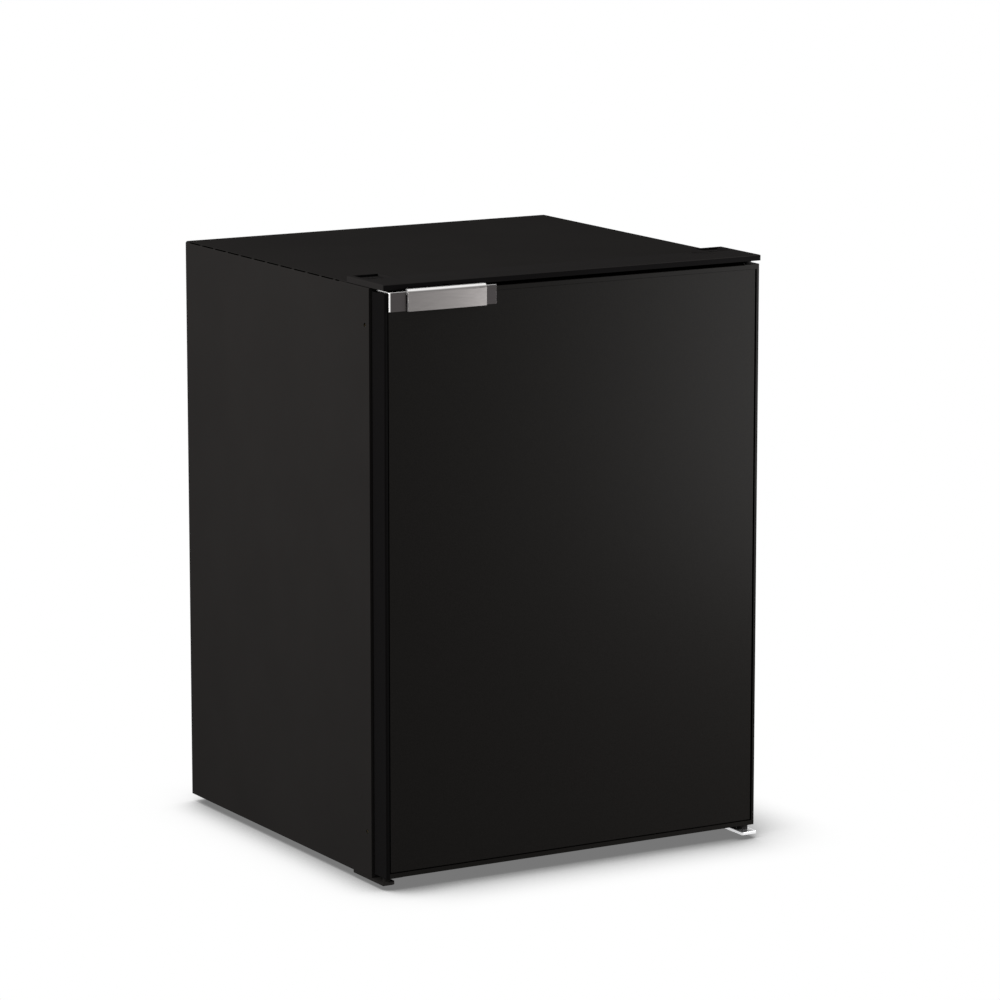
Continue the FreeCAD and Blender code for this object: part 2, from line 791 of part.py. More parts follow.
def liner():
    """Inner box of the cold compartment, with its front lip and shelf ledges."""
    lip = block(both(HALF - FLANGE), (FACE, FACE + LINER), (BASE + FLANGE, ROOF - FLANGE))
    shell = cavity(LINER).common(block(both(HALF), (FACE, BACK), (BASE, ROOF)))
    shell = shell.fuse(lip).cut(cavity(0))
    return cut(fuse([shell] + ledges()), line_rooms())


def rear_grille():
    """Louvred plastic panel over the machine niche."""
    plate = block(both(INNER), (BACK - GRILLE, BACK), (PAN_TOP, NICHE_TOP))
    tools = []
    rows = int((NICHE_HEIGHT - 2 * LOUVRE_MARGIN) / LOUVRE_PITCH)
    y0 = BACK - GRILLE - 1
    y1 = BACK + 1
    for row in range(rows):
        z = PAN_TOP + LOUVRE_MARGIN + row * LOUVRE_PITCH
        outline = [(0, y0, z + LOUVRE_SLANT), (0, y0, z + LOUVRE_SLANT + LOUVRE_HEIGHT)]
        outline += [(0, y1, z + LOUVRE_HEIGHT), (0, y1, z)]
        slot = prism(outline, (LOUVRE_WIDTH, 0, 0)).translated(V(LOUVRE_MARGIN / 2, 0, 0))
        tools += [slot, mirrored(slot)]
    tools.append(rod(GLAND_RADIUS + SEAT, gland_place(y0), gland_place(y1)))
    seat = BACK - SCREW_HEAD
    tools += [rod(SCREW_HEAD_RADIUS + SEAT, (x, seat, z), (x, y1, z)) for x, z in grille_screw_places()]
    return cut(plate, tools + screw_shanks(SCREW_RADIUS + SEAT))


def gland_place(y):
    """The cable's way through the grille at one depth."""
    return (GLAND_FROM_SIDE - HALF, y, PAN_TOP + GLAND_UP)


def cable_grommet():
    """Rubber ring in the grille where a supply cable would enter."""
    front = BACK - GRILLE - GLAND_RIM
    ring = rod(GLAND_RADIUS, gland_place(front), gland_place(BACK))
    ring = ring.fuse(rod(GLAND_RADIUS + GLAND_WALL, gland_place(front), gland_place(BACK - GRILLE)))
    return cut(ring, [rod(GLAND_RADIUS - GLAND_WALL, gland_place(front - 1), gland_place(BACK + 1))])


def insulation():
    """Foam that fills the walls between the casing and the liner."""
    foam = block(both(INNER), (FACE + SHEET, BACK - SHEET), (PAN_TOP, ROOF - SHEET))
    foam = fillet(foam, BEND - SHEET, lambda p, d: along_y(d) and near(p.z, ROOF - SHEET))
    lip = block(both(HALF - FLANGE), (FACE, FACE + LINER), (BASE + FLANGE, ROOF - FLANGE))
    grille_room = block(both(HALF), (BACK - GRILLE, BACK), (BASE, NICHE_TOP))
    bores = fixing_holes(2 * FIXING_RADIUS, FIXING_POCKET) + screw_shanks(SCREW_RADIUS + SEAT)
    sheet_room = bead_row(BEAD_WIDTH, (BACK - BEAD_DEPTH - SHEET, BACK)) + slot_backing()
    return cut(foam, [cavity(LINER), lip, niche_block(), grille_room] + line_rooms() + bores + sheet_room)


def feet():
    """Four tapered rubber feet."""
    pads = []
    for x in both(HALF - FOOT_FROM_SIDE):
        for y in (FACE + FOOT_FROM_FACE, BACK - FOOT_FROM_BACK):
            pads.append(Part.makeCone(FOOT_RADIUS, FOOT_RADIUS - FOOT_TAPER, FOOT_HEIGHT, V(x, y, 0)))
    return Part.Compound(pads)


# Top trim and hinges

def upper_plate(grow):
    """Outline of the upper hinge plate, or with clearance added its recess."""
    x = (PIVOT_X - HINGE_WIDTH / 2 - grow, PIVOT_X + HINGE_WIDTH / 2 - HINGE_FROM_SIDE + grow)
    front = PIVOT_Y - PIN_RADIUS - BUSH_WALL
    plate = block(x, (front - grow, front + HINGE_LENGTH + grow), (ROOF, ROOF + HINGE_PLATE + grow))
    return fillet(plate, PIN_RADIUS, lambda p, d: along_z(d) and p.y < PIVOT_Y)


def top_trim():
    """Moulded strip over the door's head, ramped behind, with a flat block and a screw pocket at each end."""
    flat_back = DOOR_FRONT + TRIM_FLAT
    half = HALF - BLOCK_WIDTH
    outline = [(-half, DOOR_FRONT, ROOF), (-half, DOOR_FRONT, HEIGHT), (-half, flat_back, HEIGHT)]
    outline += [(-half, TRIM_BACK, ROOF + TRIM_TAIL), (-half, TRIM_BACK, ROOF)]
    parts = [prism(outline, (2 * half, 0, 0))]
    tools = [strike_groove(), strike_plate(), upper_plate(CLEAR / 2)]
    for side in (-1, 1):
        inner = side * half
        outer = side * HALF
        end = block((min(inner, outer), max(inner, outer)), (DOOR_FRONT, TRIM_BACK), (ROOF, HEIGHT))
        parts.append(fillet(end, TRIM_ROUND, lambda p, d: along_z(d) and near(p.x, outer)))
    for x, y in trim_screw_places():
        pocket_x = (x - POCKET_WIDTH / 2, x + POCKET_WIDTH / 2)
        pocket_y = (y - POCKET_LENGTH / 2, y + POCKET_LENGTH / 2)
        tools.append(block(pocket_x, pocket_y, (HEIGHT - POCKET_DEPTH, HEIGHT + 1)))
    trim = fuse(parts)
    trim = fillet(trim, TRIM_ROUND, lambda p, d: along_x(d) and near(p.z, HEIGHT) and near(p.y, DOOR_FRONT))
    return cut(trim, tools + screw_shanks(SCREW_RADIUS + SEAT))


def strike_groove():
    """Groove below the trim that the latch bolt runs in, open to the front."""
    half = BOLT_WIDTH / 2 + STRIKE_BESIDE
    y = (DOOR_FRONT - 1, BOLT_Y[1] + STRIKE_BEYOND)
    return block((GRIP_MIDDLE - half, GRIP_MIDDLE + half), y, (ROOF - 1, BOLT_TOP + CLEAR))


def strike_plate():
    """Steel wear plate let into the roof of the strike groove."""
    half = BOLT_WIDTH / 2 + STRIKE_BESIDE
    y = (BOLT_Y[0] - STRIKE_FRONT, BOLT_Y[1] + STRIKE_BEYOND)
    return block((GRIP_MIDDLE - half, GRIP_MIDDLE + half), y, (BOLT_TOP + CLEAR, BOLT_TOP + CLEAR + STRIKE))


def upper_hinge_plate():
    """Plate below the trim that carries the upper pin."""
    return cut(upper_plate(0), screw_shanks(SCREW_RADIUS + SEAT) + [rod(PIN_RADIUS, *upper_pin_ends())])


def upper_pin_ends():
    """Top and bottom of the upper hinge pin."""
    return [(PIVOT_X, PIVOT_Y, ROOF + HINGE_PLATE), (PIVOT_X, PIVOT_Y, DOOR_HIGH - PIN_REACH)]


def lower_pin_ends():
    """Bottom and top of the lower hinge pin."""
    return [(PIVOT_X, PIVOT_Y, BASE - LOWER_PLATE), (PIVOT_X, PIVOT_Y, DOOR_LOW + PIN_REACH)]


def hinge_pins():
    """The two pins that the door turns on; the lower one has a collar that carries the door."""
    collar = rod(COLLAR_RADIUS, (PIVOT_X, PIVOT_Y, BASE), (PIVOT_X, PIVOT_Y, DOOR_LOW - CLEAR))
    lower = rod(PIN_RADIUS, *lower_pin_ends()).fuse(collar)
    return Part.Compound([rod(PIN_RADIUS, *upper_pin_ends()), lower])


def lower_hinge_plate():
    """Bright plate below the cabinet that carries the lower pin and shows in front of the door."""
    middle = PIVOT_X - LOWER_SHIFT
    x = (middle - HINGE_WIDTH / 2, middle + HINGE_WIDTH / 2)
    y = (DOOR_FRONT - LOWER_FRONT, FACE + LOWER_REACH)
    plate = block(x, y, (BASE - LOWER_PLATE, BASE))
    plate = fillet(plate, LOWER_ROUND, lambda p, d: along_z(d) and p.y < PIVOT_Y)
    return cut(plate, screw_shanks(SCREW_RADIUS + SEAT) + [rod(PIN_RADIUS, *lower_pin_ends())])


def lower_left_bracket():
    """Black bracket below the left side, with one rounded corner and a post under the door's corner."""
    x = (-HALF, BRACKET_WIDTH - HALF)
    front = DOOR_FRONT + BRACKET_SETBACK
    plate = block(x, (front, FACE + LOWER_REACH), (BASE - LOWER_PLATE, BASE))
    plate = fillet(plate, BRACKET_ROUND, lambda p, d: along_z(d) and p.y < FACE and near(p.x, x[1]))
    centre = (BRACKET_WIDTH / 2 - HALF, front + BRACKET_WIDTH / 2)
    post = rod(BRACKET_WIDTH / 4, (*centre, BASE - LOWER_PLATE), (*centre, DOOR_LOW - CLEAR))
    return cut(fuse([plate, post]), screw_shanks(SCREW_RADIUS + SEAT))


def screws():
    """Screws of the trim, of the two plates below the cabinet and of the rear grille."""
    top = HEIGHT - POCKET_DEPTH
    low = BASE - LOWER_PLATE
    radius = SCREW_HEAD_RADIUS
    heads = [rod(radius, (x, y, top), (x, y, top + SCREW_HEAD)) for x, y in trim_screw_places()]
    heads += [rod(radius, (x, y, low), (x, y, low - SCREW_HEAD)) for x, y in plate_screw_places()]
    heads += [rod(radius, (x, BACK - SCREW_HEAD, z), (x, BACK, z)) for x, z in grille_screw_places()]
    return Part.Compound([head.fuse(shank) for head, shank in zip(heads, screw_shanks(SCREW_RADIUS))])


# Door

def door_stile(side):
    """Upright of the door's frame: a rebate for the panel, a groove for the gasket, rounded outer edge."""
    bar = block((DOOR_HALF - STILE, DOOR_HALF), (DOOR_FRONT, DOOR_BACK), (DOOR_LOW, DOOR_HIGH))
    bar = fillet(bar, DOOR_ROUND, lambda p, d: along_z(d) and near(p.x, DOOR_HALF) and near(p.y, DOOR_FRONT))
    tools = [panel_room(), gasket_groove()]
    if side > 0:
        radius = PIN_RADIUS + FIT + BUSH_WALL + SEAT
        tools += [rod(radius, *ends) for ends in bush_ends()]
        return cut(bar, tools)
    return mirrored(cut(bar, tools))


def panel_room():
    """The sunk rectangle in the frame's front that holds the panel."""
    z = (DOOR_LOW + RAIL_LIP, DOOR_HIGH - RAIL_LIP)
    return block(both(DOOR_HALF - STILE_LIP), (DOOR_FRONT - 1, DOOR_FRONT + PANEL + PANEL_SUNK), z)


def gasket_ring(width, y):
    """A ring of one width on the gasket's centre line."""
    out = GASKET_FROM_EDGE - width / 2
    x = both(DOOR_HALF - out)
    return frame_ring(x, (DOOR_LOW + out, DOOR_HIGH - out), width, y)


def gasket_groove():
    """Groove in the frame's back for the gasket's dart."""
    return gasket_ring(DART_WIDTH + 2 * SEAT, (DOOR_BACK - DART_DEPTH - SEAT, DOOR_BACK + 1))


def gasket():
    """Magnetic seal: dart in the frame, flat foot and the tube that meets the cabinet's face."""
    dart = gasket_ring(DART_WIDTH, (DOOR_BACK - DART_DEPTH, DOOR_BACK))
    foot = gasket_ring(GASKET_WIDTH, (DOOR_BACK, DOOR_BACK + GASKET_FOOT))
    tube = gasket_ring(GASKET_TUBE, (DOOR_BACK + GASKET_FOOT, FACE - CLEAR))
    tube = fillet(tube, GASKET_ROUND, lambda p, d: near(p.y, FACE - CLEAR))
    return fuse([dart, foot, tube])


def door_rail_top():
    """Top bar of the door's frame, notched for the handle's well."""
    bar = rail((DOOR_HIGH - RAIL, DOOR_HIGH), DOOR_HIGH)
    return cut(bar, [panel_room(), gasket_groove(), handle_well(SEAT)])


def door_rail_bottom():
    """Bottom bar of the door's frame."""
    bar = rail((DOOR_LOW, DOOR_LOW + RAIL), DOOR_LOW)
    return cut(bar, [panel_room(), gasket_groove()])


def rail(z, edge):
    """A bar between the stiles with its outer front edge rounded."""
    bar = block(both(DOOR_HALF - STILE), (DOOR_FRONT, DOOR_BACK), z)
    return fillet(bar, DOOR_ROUND / 2, lambda p, d: along_x(d) and near(p.z, edge) and near(p.y, DOOR_FRONT))


def door_panel():
    """Front sheet set in the frame, notched for the handle's well."""
    x = both(DOOR_HALF - STILE_LIP - PANEL_SIDE_GAP)
    z = (DOOR_LOW + RAIL_LIP + PANEL_LOW_GAP, DOOR_HIGH - RAIL_LIP - PANEL_TOP_GAP)
    sheet = block(x, (DOOR_FRONT + PANEL_SUNK, DOOR_FRONT + PANEL_SUNK + PANEL), z)
    return cut(sheet, [handle_well(SEAT)])


def dyke_ring(shrink):
    """The raised ring inside the door, or with a wall's thickness taken off the foam in it."""
    y = (DOOR_BACK - LINER, DOOR_BACK + DYKE_DEPTH - shrink)
    outer = block(both(DYKE_HALF - shrink), y, (DYKE_LOW + shrink, DYKE_HIGH - shrink))
    inset = DYKE_WIDTH - shrink
    hole_y = (y[0] - 1, y[1] + 1)
    hole = block(both(DYKE_HALF - inset), hole_y, (DYKE_LOW + inset, DYKE_HIGH - inset))
    outer = fillet(outer, DYKE_OUTER_ROUND - shrink, lambda p, d: along_y(d))
    hole = fillet(hole, DYKE_INNER_ROUND + shrink, lambda p, d: along_y(d))
    return fillet(outer.cut(hole), DYKE_EDGE - shrink, lambda p, d: near(p.y, y[1]))


def door_liner():
    """Inner skin of the door: flat sheet, raised ring and lugs that carry the bins."""
    x = both(DOOR_HALF - STILE)
    z = (DOOR_LOW + RAIL, DOOR_HIGH - RAIL)
    sheet = block(x, (DOOR_BACK - LINER, DOOR_BACK), z)
    shell = sheet.fuse(dyke_ring(0)).cut(dyke_ring(LINER))
    lugs = []
    wall = DYKE_HALF - DYKE_WIDTH
    lug_y = (DOOR_BACK - LINER / 2, DOOR_BACK + DYKE_DEPTH - DYKE_EDGE)
    for low in (UPPER_BIN_LOW, LOWER_BIN_LOW):
        lug = block((wall - LUG, wall + LINER / 2), lug_y, (FLOOR + low - LUG, FLOOR + low))
        lugs += [lug, mirrored(lug)]
    return fuse([shell] + lugs)


def door_foam():
    """Foam between the door's panel and its inner skin."""
    x = both(DOOR_HALF - STILE)
    z = (DOOR_LOW + RAIL, DOOR_HIGH - RAIL)
    core = block(x, (DOOR_FRONT + PANEL_SUNK + PANEL, DOOR_BACK - LINER), z)
    return fuse([core, dyke_ring(LINER)])


def bin_form(half, y, z, corner):
    """A bar across the door whose front leans out towards its top, with round front corners."""
    outline = [(-half, y[0], z[0]), (-half, y[1] - BIN_LEAN, z[0]), (-half, y[1], z[1]), (-half, y[0], z[1])]
    form = prism(outline, (2 * half, 0, 0))
    return fillet(form, corner, lambda p, d: abs(d.z) > 0.9 and p.y > (y[0] + y[1]) / 2)


def door_bin(low, height):
    """Open bin across the door, its leaning front wall lower than its ends."""
    y = (DOOR_BACK + SEAT, DOOR_BACK + BIN_DEPTH)
    z = (FLOOR + low, FLOOR + low + height)
    outer = bin_form(BIN_HALF, y, z, BIN_ROUND)
    inside_y = (y[0] + BIN_WALL, y[1] - BIN_WALL)
    inside = bin_form(BIN_HALF - BIN_WALL, inside_y, (z[0] + BIN_WALL, z[1] + BIN_WALL), BIN_ROUND - BIN_WALL)
    dip_z = z[1] - BIN_FRONT_DROP
    dip = block(both(BIN_HALF - BIN_FRONT_DROP), (y[1] - BIN_LEAN, y[1] + 1), (dip_z, z[1] + 1))
    dip = fillet(dip, BIN_FRONT_DROP / 2, lambda p, d: along_y(d) and near(p.z, dip_z))
    return cut(outer, [inside, dip])


def bush_ends():
    """Ends of the two hinge bushes in the right-hand stile."""
    length = PIN_REACH + BUSH_BEYOND
    top = [(PIVOT_X, PIVOT_Y, DOOR_HIGH), (PIVOT_X, PIVOT_Y, DOOR_HIGH - length)]
    bottom = [(PIVOT_X, PIVOT_Y, DOOR_LOW), (PIVOT_X, PIVOT_Y, DOOR_LOW + length)]
    return [top, bottom]


def hinge_bushes():
    """Plastic bushes that turn on the hinge pins."""
    outer = PIN_RADIUS + FIT + BUSH_WALL
    tubes = [rod(outer, *ends).cut(rod(PIN_RADIUS + FIT, *ends)) for ends in bush_ends()]
    return Part.Compound(tubes)


# Handle and latch

def handle_well(grow):
    """The space that the handle's well takes in the door."""
    x = (GRIP_LEFT + WELL_MARGIN - grow, GRIP_RIGHT - WELL_MARGIN + grow)
    return block(x, (DOOR_FRONT - 1, WELL_BACK + grow), (WELL_FLOOR - grow, DOOR_HIGH + 1))


def bolt_guide(gap):
    """Upright space that the bolt slides in."""
    x = (GRIP_MIDDLE - BOLT_WIDTH / 2 - gap, GRIP_MIDDLE + BOLT_WIDTH / 2 + gap)
    return block(x, (BOLT_Y[0] - gap, BOLT_Y[1] + gap), (WELL_FLOOR + WELL_WALL, ROOF))


def handle_base():
    """Metal base on the door's corner: two end plates, a top flange and a sunk well behind the grip."""
    front = (DOOR_FRONT - BASE_PROUD, DOOR_FRONT)
    ahead = lambda p: near(p.y, front[0])
    left = block((HANDLE_LEFT, GRIP_LEFT - CLEAR), front, (HANDLE_LOW, HANDLE_TOP))
    left = fillet(left, BASE_ROUND, lambda p, d: along_z(d) and near(p.x, HANDLE_LEFT) and ahead(p))
    left = fillet(left, BASE_EDGE, lambda p, d: along_x(d) and near(p.z, HANDLE_TOP) and ahead(p))
    right = block((GRIP_RIGHT + CLEAR, HANDLE_RIGHT), front, (HANDLE_LOW, HANDLE_TOP))
    right = fillet(right, BASE_EDGE, lambda p, d: along_x(d) and near(p.z, HANDLE_TOP) and ahead(p))
    flange_y = (DOOR_FRONT, DOOR_FRONT + FLANGE_DEPTH)
    flange = block((HANDLE_LEFT, HANDLE_RIGHT), flange_y, (DOOR_HIGH, HANDLE_TOP))
    well_x = (GRIP_LEFT + WELL_MARGIN, GRIP_RIGHT - WELL_MARGIN)
    well = block(well_x, (DOOR_FRONT, WELL_BACK), (WELL_FLOOR, DOOR_HIGH))
    hollow = block((well_x[0] + WELL_WALL, well_x[1] - WELL_WALL), (DOOR_FRONT - 1, WELL_BACK - WELL_WALL),
                   (WELL_FLOOR + WELL_WALL, DOOR_HIGH))
    knuckle_room = block((GRIP_LEFT - CLEAR, GRIP_RIGHT + CLEAR), (DOOR_FRONT - 1, DOOR_FRONT + BASE_PROUD),
                         (DOOR_HIGH - 1, HANDLE_TOP + 1))
    guide_half = BOLT_WIDTH / 2 + WELL_MARGIN
    guide = block((GRIP_MIDDLE - guide_half, GRIP_MIDDLE + guide_half),
                  (NOSE_Y, WELL_BACK - WELL_WALL), (WELL_FLOOR + WELL_WALL, DOOR_HIGH))
    base = fuse([left, right, flange, well.cut(hollow).cut(knuckle_room)])
    base = base.cut(knuckle_room).fuse(guide)
    return cut(base, [bolt_guide(CLEAR), rod(LEVER_PIN_RADIUS + SEAT / 2, *lever_pin_ends())])


def lever_pin_ends():
    """Ends of the pin that the lever turns on."""
    reach = (HANDLE_RIGHT - GRIP_RIGHT) / 2
    return [(GRIP_LEFT - reach, LEVER_Y, LEVER_Z), (GRIP_RIGHT + reach, LEVER_Y, LEVER_Z)]


def lever_pin():
    """Steel pin through the base's two end plates."""
    return rod(LEVER_PIN_RADIUS, *lever_pin_ends())


def bowed(face, back, z):
    """A bar across the grip's width with a bowed front, straight or bowed behind."""
    ends = [V(GRIP_LEFT, face, z[0]), V(GRIP_MIDDLE, face - GRIP_BOW, z[0]), V(GRIP_RIGHT, face, z[0])]
    rear = [V(GRIP_RIGHT, back[0], z[0]), V(GRIP_MIDDLE, back[1], z[0]), V(GRIP_LEFT, back[0], z[0])]
    edges = [Part.Arc(*ends).toShape(), Part.LineSegment(ends[2], rear[0]).toShape()]
    if near(back[0], back[1]):
        edges.append(Part.LineSegment(rear[0], rear[2]).toShape())
    else:
        edges.append(Part.Arc(*rear).toShape())
    edges.append(Part.LineSegment(rear[2], ends[0]).toShape())
    return Part.Face(Part.Wire(edges)).extrude(V(0, 0, z[1] - z[0]))


def handle_lever():
    """Bowed grip with a rounded head that turns on the pin, and a tail that draws the bolt."""
    face = DOOR_FRONT - GRIP_PROUD + GRIP_BOW
    top = DOOR_HIGH + GRIP_RISE
    inner = face + GRIP_THICK
    plate = bowed(face, (inner, inner - GRIP_BOW), (HANDLE_LOW - GRIP_DROP, top))
    cap = bowed(face, (LEVER_Y, LEVER_Y), (top - CAP_THICK, top))
    knuckle = rod(KNUCKLE_RADIUS, (GRIP_LEFT, LEVER_Y, LEVER_Z), (GRIP_RIGHT, LEVER_Y, LEVER_Z))
    grip = fuse([plate, cap, knuckle])
    grip = fillet(grip, GRIP_ROUND, lambda p, d: near(p.z, top) and near(p.y, face - GRIP_BOW))
    x = GRIP_MIDDLE - TAIL_WIDTH / 2
    half = TAIL_THICK / 2
    arm = prism([(x, LEVER_Y, LEVER_Z + half), (x, LEVER_Y, LEVER_Z - half), (x, NOSE_Y, NOSE_Z - half),
                 (x, NOSE_Y, NOSE_Z + half)], (TAIL_WIDTH, 0, 0))
    nose = rod(NOSE_RADIUS, (x, NOSE_Y, NOSE_Z), (x + TAIL_WIDTH, NOSE_Y, NOSE_Z))
    bore = rod(LEVER_PIN_RADIUS + FIT, (GRIP_LEFT - 1, LEVER_Y, LEVER_Z), (GRIP_RIGHT + 1, LEVER_Y, LEVER_Z))
    return cut(fuse([grip, arm, nose]), [bore])


def latch_bolt():
    """Sliding bolt with a sloped tip and a window for the lever's nose."""
    x = GRIP_MIDDLE - BOLT_WIDTH / 2
    outline = [(x, BOLT_Y[0], BOLT_LOW), (x, BOLT_Y[1], BOLT_LOW), (x, BOLT_Y[1], BOLT_TOP - BOLT_RISE / 2)]
    outline += [(x, BOLT_Y[0] + BOLT_THICK / 2, BOLT_TOP), (x, BOLT_Y[0], BOLT_TOP)]
    window_x = (GRIP_MIDDLE - TAIL_WIDTH / 2 - CLEAR, GRIP_MIDDLE + TAIL_WIDTH / 2 + CLEAR)
    window_z = (NOSE_Z - NOSE_RADIUS - CLEAR, NOSE_Z + NOSE_RADIUS + 3 * CLEAR)
    window = block(window_x, (BOLT_Y[0] - 1, NOSE_Y + NOSE_RADIUS + CLEAR), window_z)
    return prism(outline, (BOLT_WIDTH, 0, 0)).cut(window)


def latch_spring():
    """Leaf spring in the well that presses the bolt up."""
    floor_z = WELL_FLOOR + WELL_WALL
    low = BOLT_LOW - SEAT
    x = GRIP_MIDDLE - BOLT_WIDTH / 4
    y0 = DOOR_FRONT + BASE_PROUD
    outline = [(x, NOSE_Y, floor_z), (x, y0, floor_z), (x, NOSE_Y, low), (x, NOSE_Y + 1, low - SPRING_LEAF)]
    outline += [(x, y0 + 3 * SPRING_LEAF, floor_z + SPRING_LEAF), (x, NOSE_Y, floor_z + SPRING_LEAF)]
    return prism(outline, (BOLT_WIDTH / 2, 0, 0))


# Cold compartment

def evaporator():
    """Aluminium freezer box, open at the front, with two folded hooks below for the drip tray."""
    x = (EVAP_LEFT, EVAP_RIGHT)
    y = (EVAP_FRONT, EVAP_BACK)
    z = (EVAP_LOW, EVAP_TOP)
    outer = fillet(block(x, y, z), EVAP_ROUND, lambda p, d: along_y(d))
    inner = block((x[0] + EVAP_WALL, x[1] - EVAP_WALL), (y[0] - 1, y[1] - EVAP_WALL),
                  (z[0] + EVAP_WALL, z[1] - EVAP_WALL))
    inner = fillet(inner, EVAP_ROUND - EVAP_WALL, lambda p, d: along_y(d))
    hooks = []
    for web in hook_webs():
        foot = hook_foot(web)
        hooks.append(block(web, y, (EVAP_LOW - HOOK_HANG, EVAP_LOW + EVAP_WALL / 2)))
        hooks.append(block(foot, y, (EVAP_LOW - HOOK_HANG, EVAP_LOW - HOOK_HANG + HOOK_WALL)))
    channels = [pipe(channel_points(side), CHANNEL_RADIUS, CHANNEL_PITCH / 3) for side in x]
    return fuse([outer.cut(inner)] + hooks + channels)


def channel_points(x):
    """Course of the refrigerant's channel to and fro along one side of the evaporator."""
    ends = (EVAP_BACK - CHANNEL_MARGIN, EVAP_FRONT + CHANNEL_MARGIN)
    points = []
    for i in range(CHANNEL_PASSES):
        z = EVAP_LOW + CHANNEL_LOW + i * CHANNEL_PITCH
        points += [(x, ends[i % 2], z), (x, ends[1 - i % 2], z)]
    return points


def hook_webs():
    """Limits along X of the two hooks' upright webs."""
    left = EVAP_LEFT + HOOK_INSET
    right = EVAP_RIGHT - HOOK_INSET
    return [(left, left + HOOK_WALL), (right - HOOK_WALL, right)]


def hook_foot(web):
    """Limits along X of a hook's foot, turned towards the tray."""
    if web[0] < (EVAP_LEFT + EVAP_RIGHT) / 2:
        return (web[0], web[1] + TRAY_RIM)
    return (web[0] - TRAY_RIM, web[1])


def evaporator_hangers():
    """Four posts that hang the evaporator from the ceiling."""
    posts = []
    for x in (EVAP_LEFT + HANGER_INSET, EVAP_RIGHT - HANGER_INSET):
        for y in (EVAP_FRONT + HANGER_INSET, EVAP_BACK - HANGER_INSET):
            posts.append(rod(HANGER_RADIUS, (x, y, EVAP_TOP), (x, y, CEILING)))
    return Part.Compound(posts)


def drip_tray():
    """Shallow tray that slides on the evaporator's hooks by its two rims."""
    webs = hook_webs()
    rim_x = (webs[0][1] + CLEAR, webs[1][0] - CLEAR)
    seat = EVAP_LOW - HOOK_HANG + HOOK_WALL
    body_x = (rim_x[0] + TRAY_RIM, rim_x[1] - TRAY_RIM)
    tray = open_box(body_x, (EVAP_FRONT, EVAP_BACK), (seat - TRAY_DEPTH, seat + TRAY_WALL), TRAY_WALL)
    rims = block(rim_x, (EVAP_FRONT, EVAP_BACK), (seat, seat + TRAY_WALL))
    inside_x = (body_x[0] + TRAY_WALL, body_x[1] - TRAY_WALL)
    inside_y = (EVAP_FRONT + TRAY_WALL, EVAP_BACK - TRAY_WALL)
    inside = block(inside_x, inside_y, (seat - TRAY_WALL, seat + 2 * TRAY_WALL))
    return fuse([tray, rims.cut(inside)])


def freezer_frame():
    """Moulded frame on the evaporator's front edge, with bores for the flap's pins."""
    x = (EVAP_LEFT - FRAME_OVER, EVAP_RIGHT + FRAME_OVER)
    z = (EVAP_LOW - FRAME_OVER, EVAP_TOP + FRAME_OVER)
    ring = frame_ring(x, z, FRAME_BAR, (EVAP_FRONT - FRAME_DEPTH, EVAP_FRONT))
    return cut(ring, [rod(FLAP_PIN_RADIUS + FIT, *ends) for ends in flap_pin_ends(CLEAR)])


def flap_pin_ends(extra):
    """Ends of the flap's two pins, with some depth added for their bores."""
    left = [(MOUTH_X[0] + CLEAR, FLAP_Y, FLAP_Z), (MOUTH_X[0] - FLAP_PIN_REACH - extra, FLAP_Y, FLAP_Z)]
    right = [(MOUTH_X[1] - CLEAR, FLAP_Y, FLAP_Z), (MOUTH_X[1] + FLAP_PIN_REACH + extra, FLAP_Y, FLAP_Z)]
    return [left, right]


def freezer_flap():
    """Flap that swings up on pins along its top edge, with a sunk front and a finger rib along its bottom."""
    x = (MOUTH_X[0] + CLEAR, MOUTH_X[1] - CLEAR)
    half = FLAP_THICK / 2
    low = MOUTH_Z[0] + CLEAR
    plate = block(x, (FLAP_Y - half, FLAP_Y + half), (low, FLAP_Z))
    head = rod(half, (x[0], FLAP_Y, FLAP_Z), (x[1], FLAP_Y, FLAP_Z))
    front = FLAP_Y - half
    sunk_x = (x[0] + FLAP_BORDER, x[1] - FLAP_BORDER)
    sunk = block(sunk_x, (front - 1, front + FLAP_SUNK), (low + FLAP_BORDER, FLAP_Z - FLAP_THICK))
    sunk = fillet(sunk, FLAP_THICK, lambda p, d: along_y(d))
    rib_left = (x[0] + x[1] - FLAP_GRIP_WIDTH) / 2
    rib_z = (low + FLAP_GRIP_UP, low + FLAP_GRIP_UP + FLAP_GRIP_HEIGHT)
    rib = block((rib_left, rib_left + FLAP_GRIP_WIDTH), (front - FLAP_GRIP, front), rib_z)
    pins = [rod(FLAP_PIN_RADIUS, *ends) for ends in flap_pin_ends(0)]
    return fuse([plate, head, rib] + pins).cut(sunk)


def thermostat_housing():
    """Housing below the ceiling for the thermostat and the lamp."""
    y = (THERMO_FRONT, THERMO_FRONT + THERMO_LENGTH)
    shell = block((THERMO_LEFT, THERMO_RIGHT), y, (THERMO_LOW, CEILING))
    shell = fillet(shell, LINER_ROUND, lambda p, d: along_y(d) and p.x > KNOB_X and p.z > KNOB_Z)
    shell = fillet(shell, THERMO_ROUND, lambda p, d: along_y(d) and near(p.z, THERMO_LOW))
    bore = rod(KNOB_SHAFT + FIT, (KNOB_X, y[0] - 1, KNOB_Z), (KNOB_X, y[0] + KNOB_SHAFT_LENGTH + 1, KNOB_Z))
    return cut(shell, [bore])


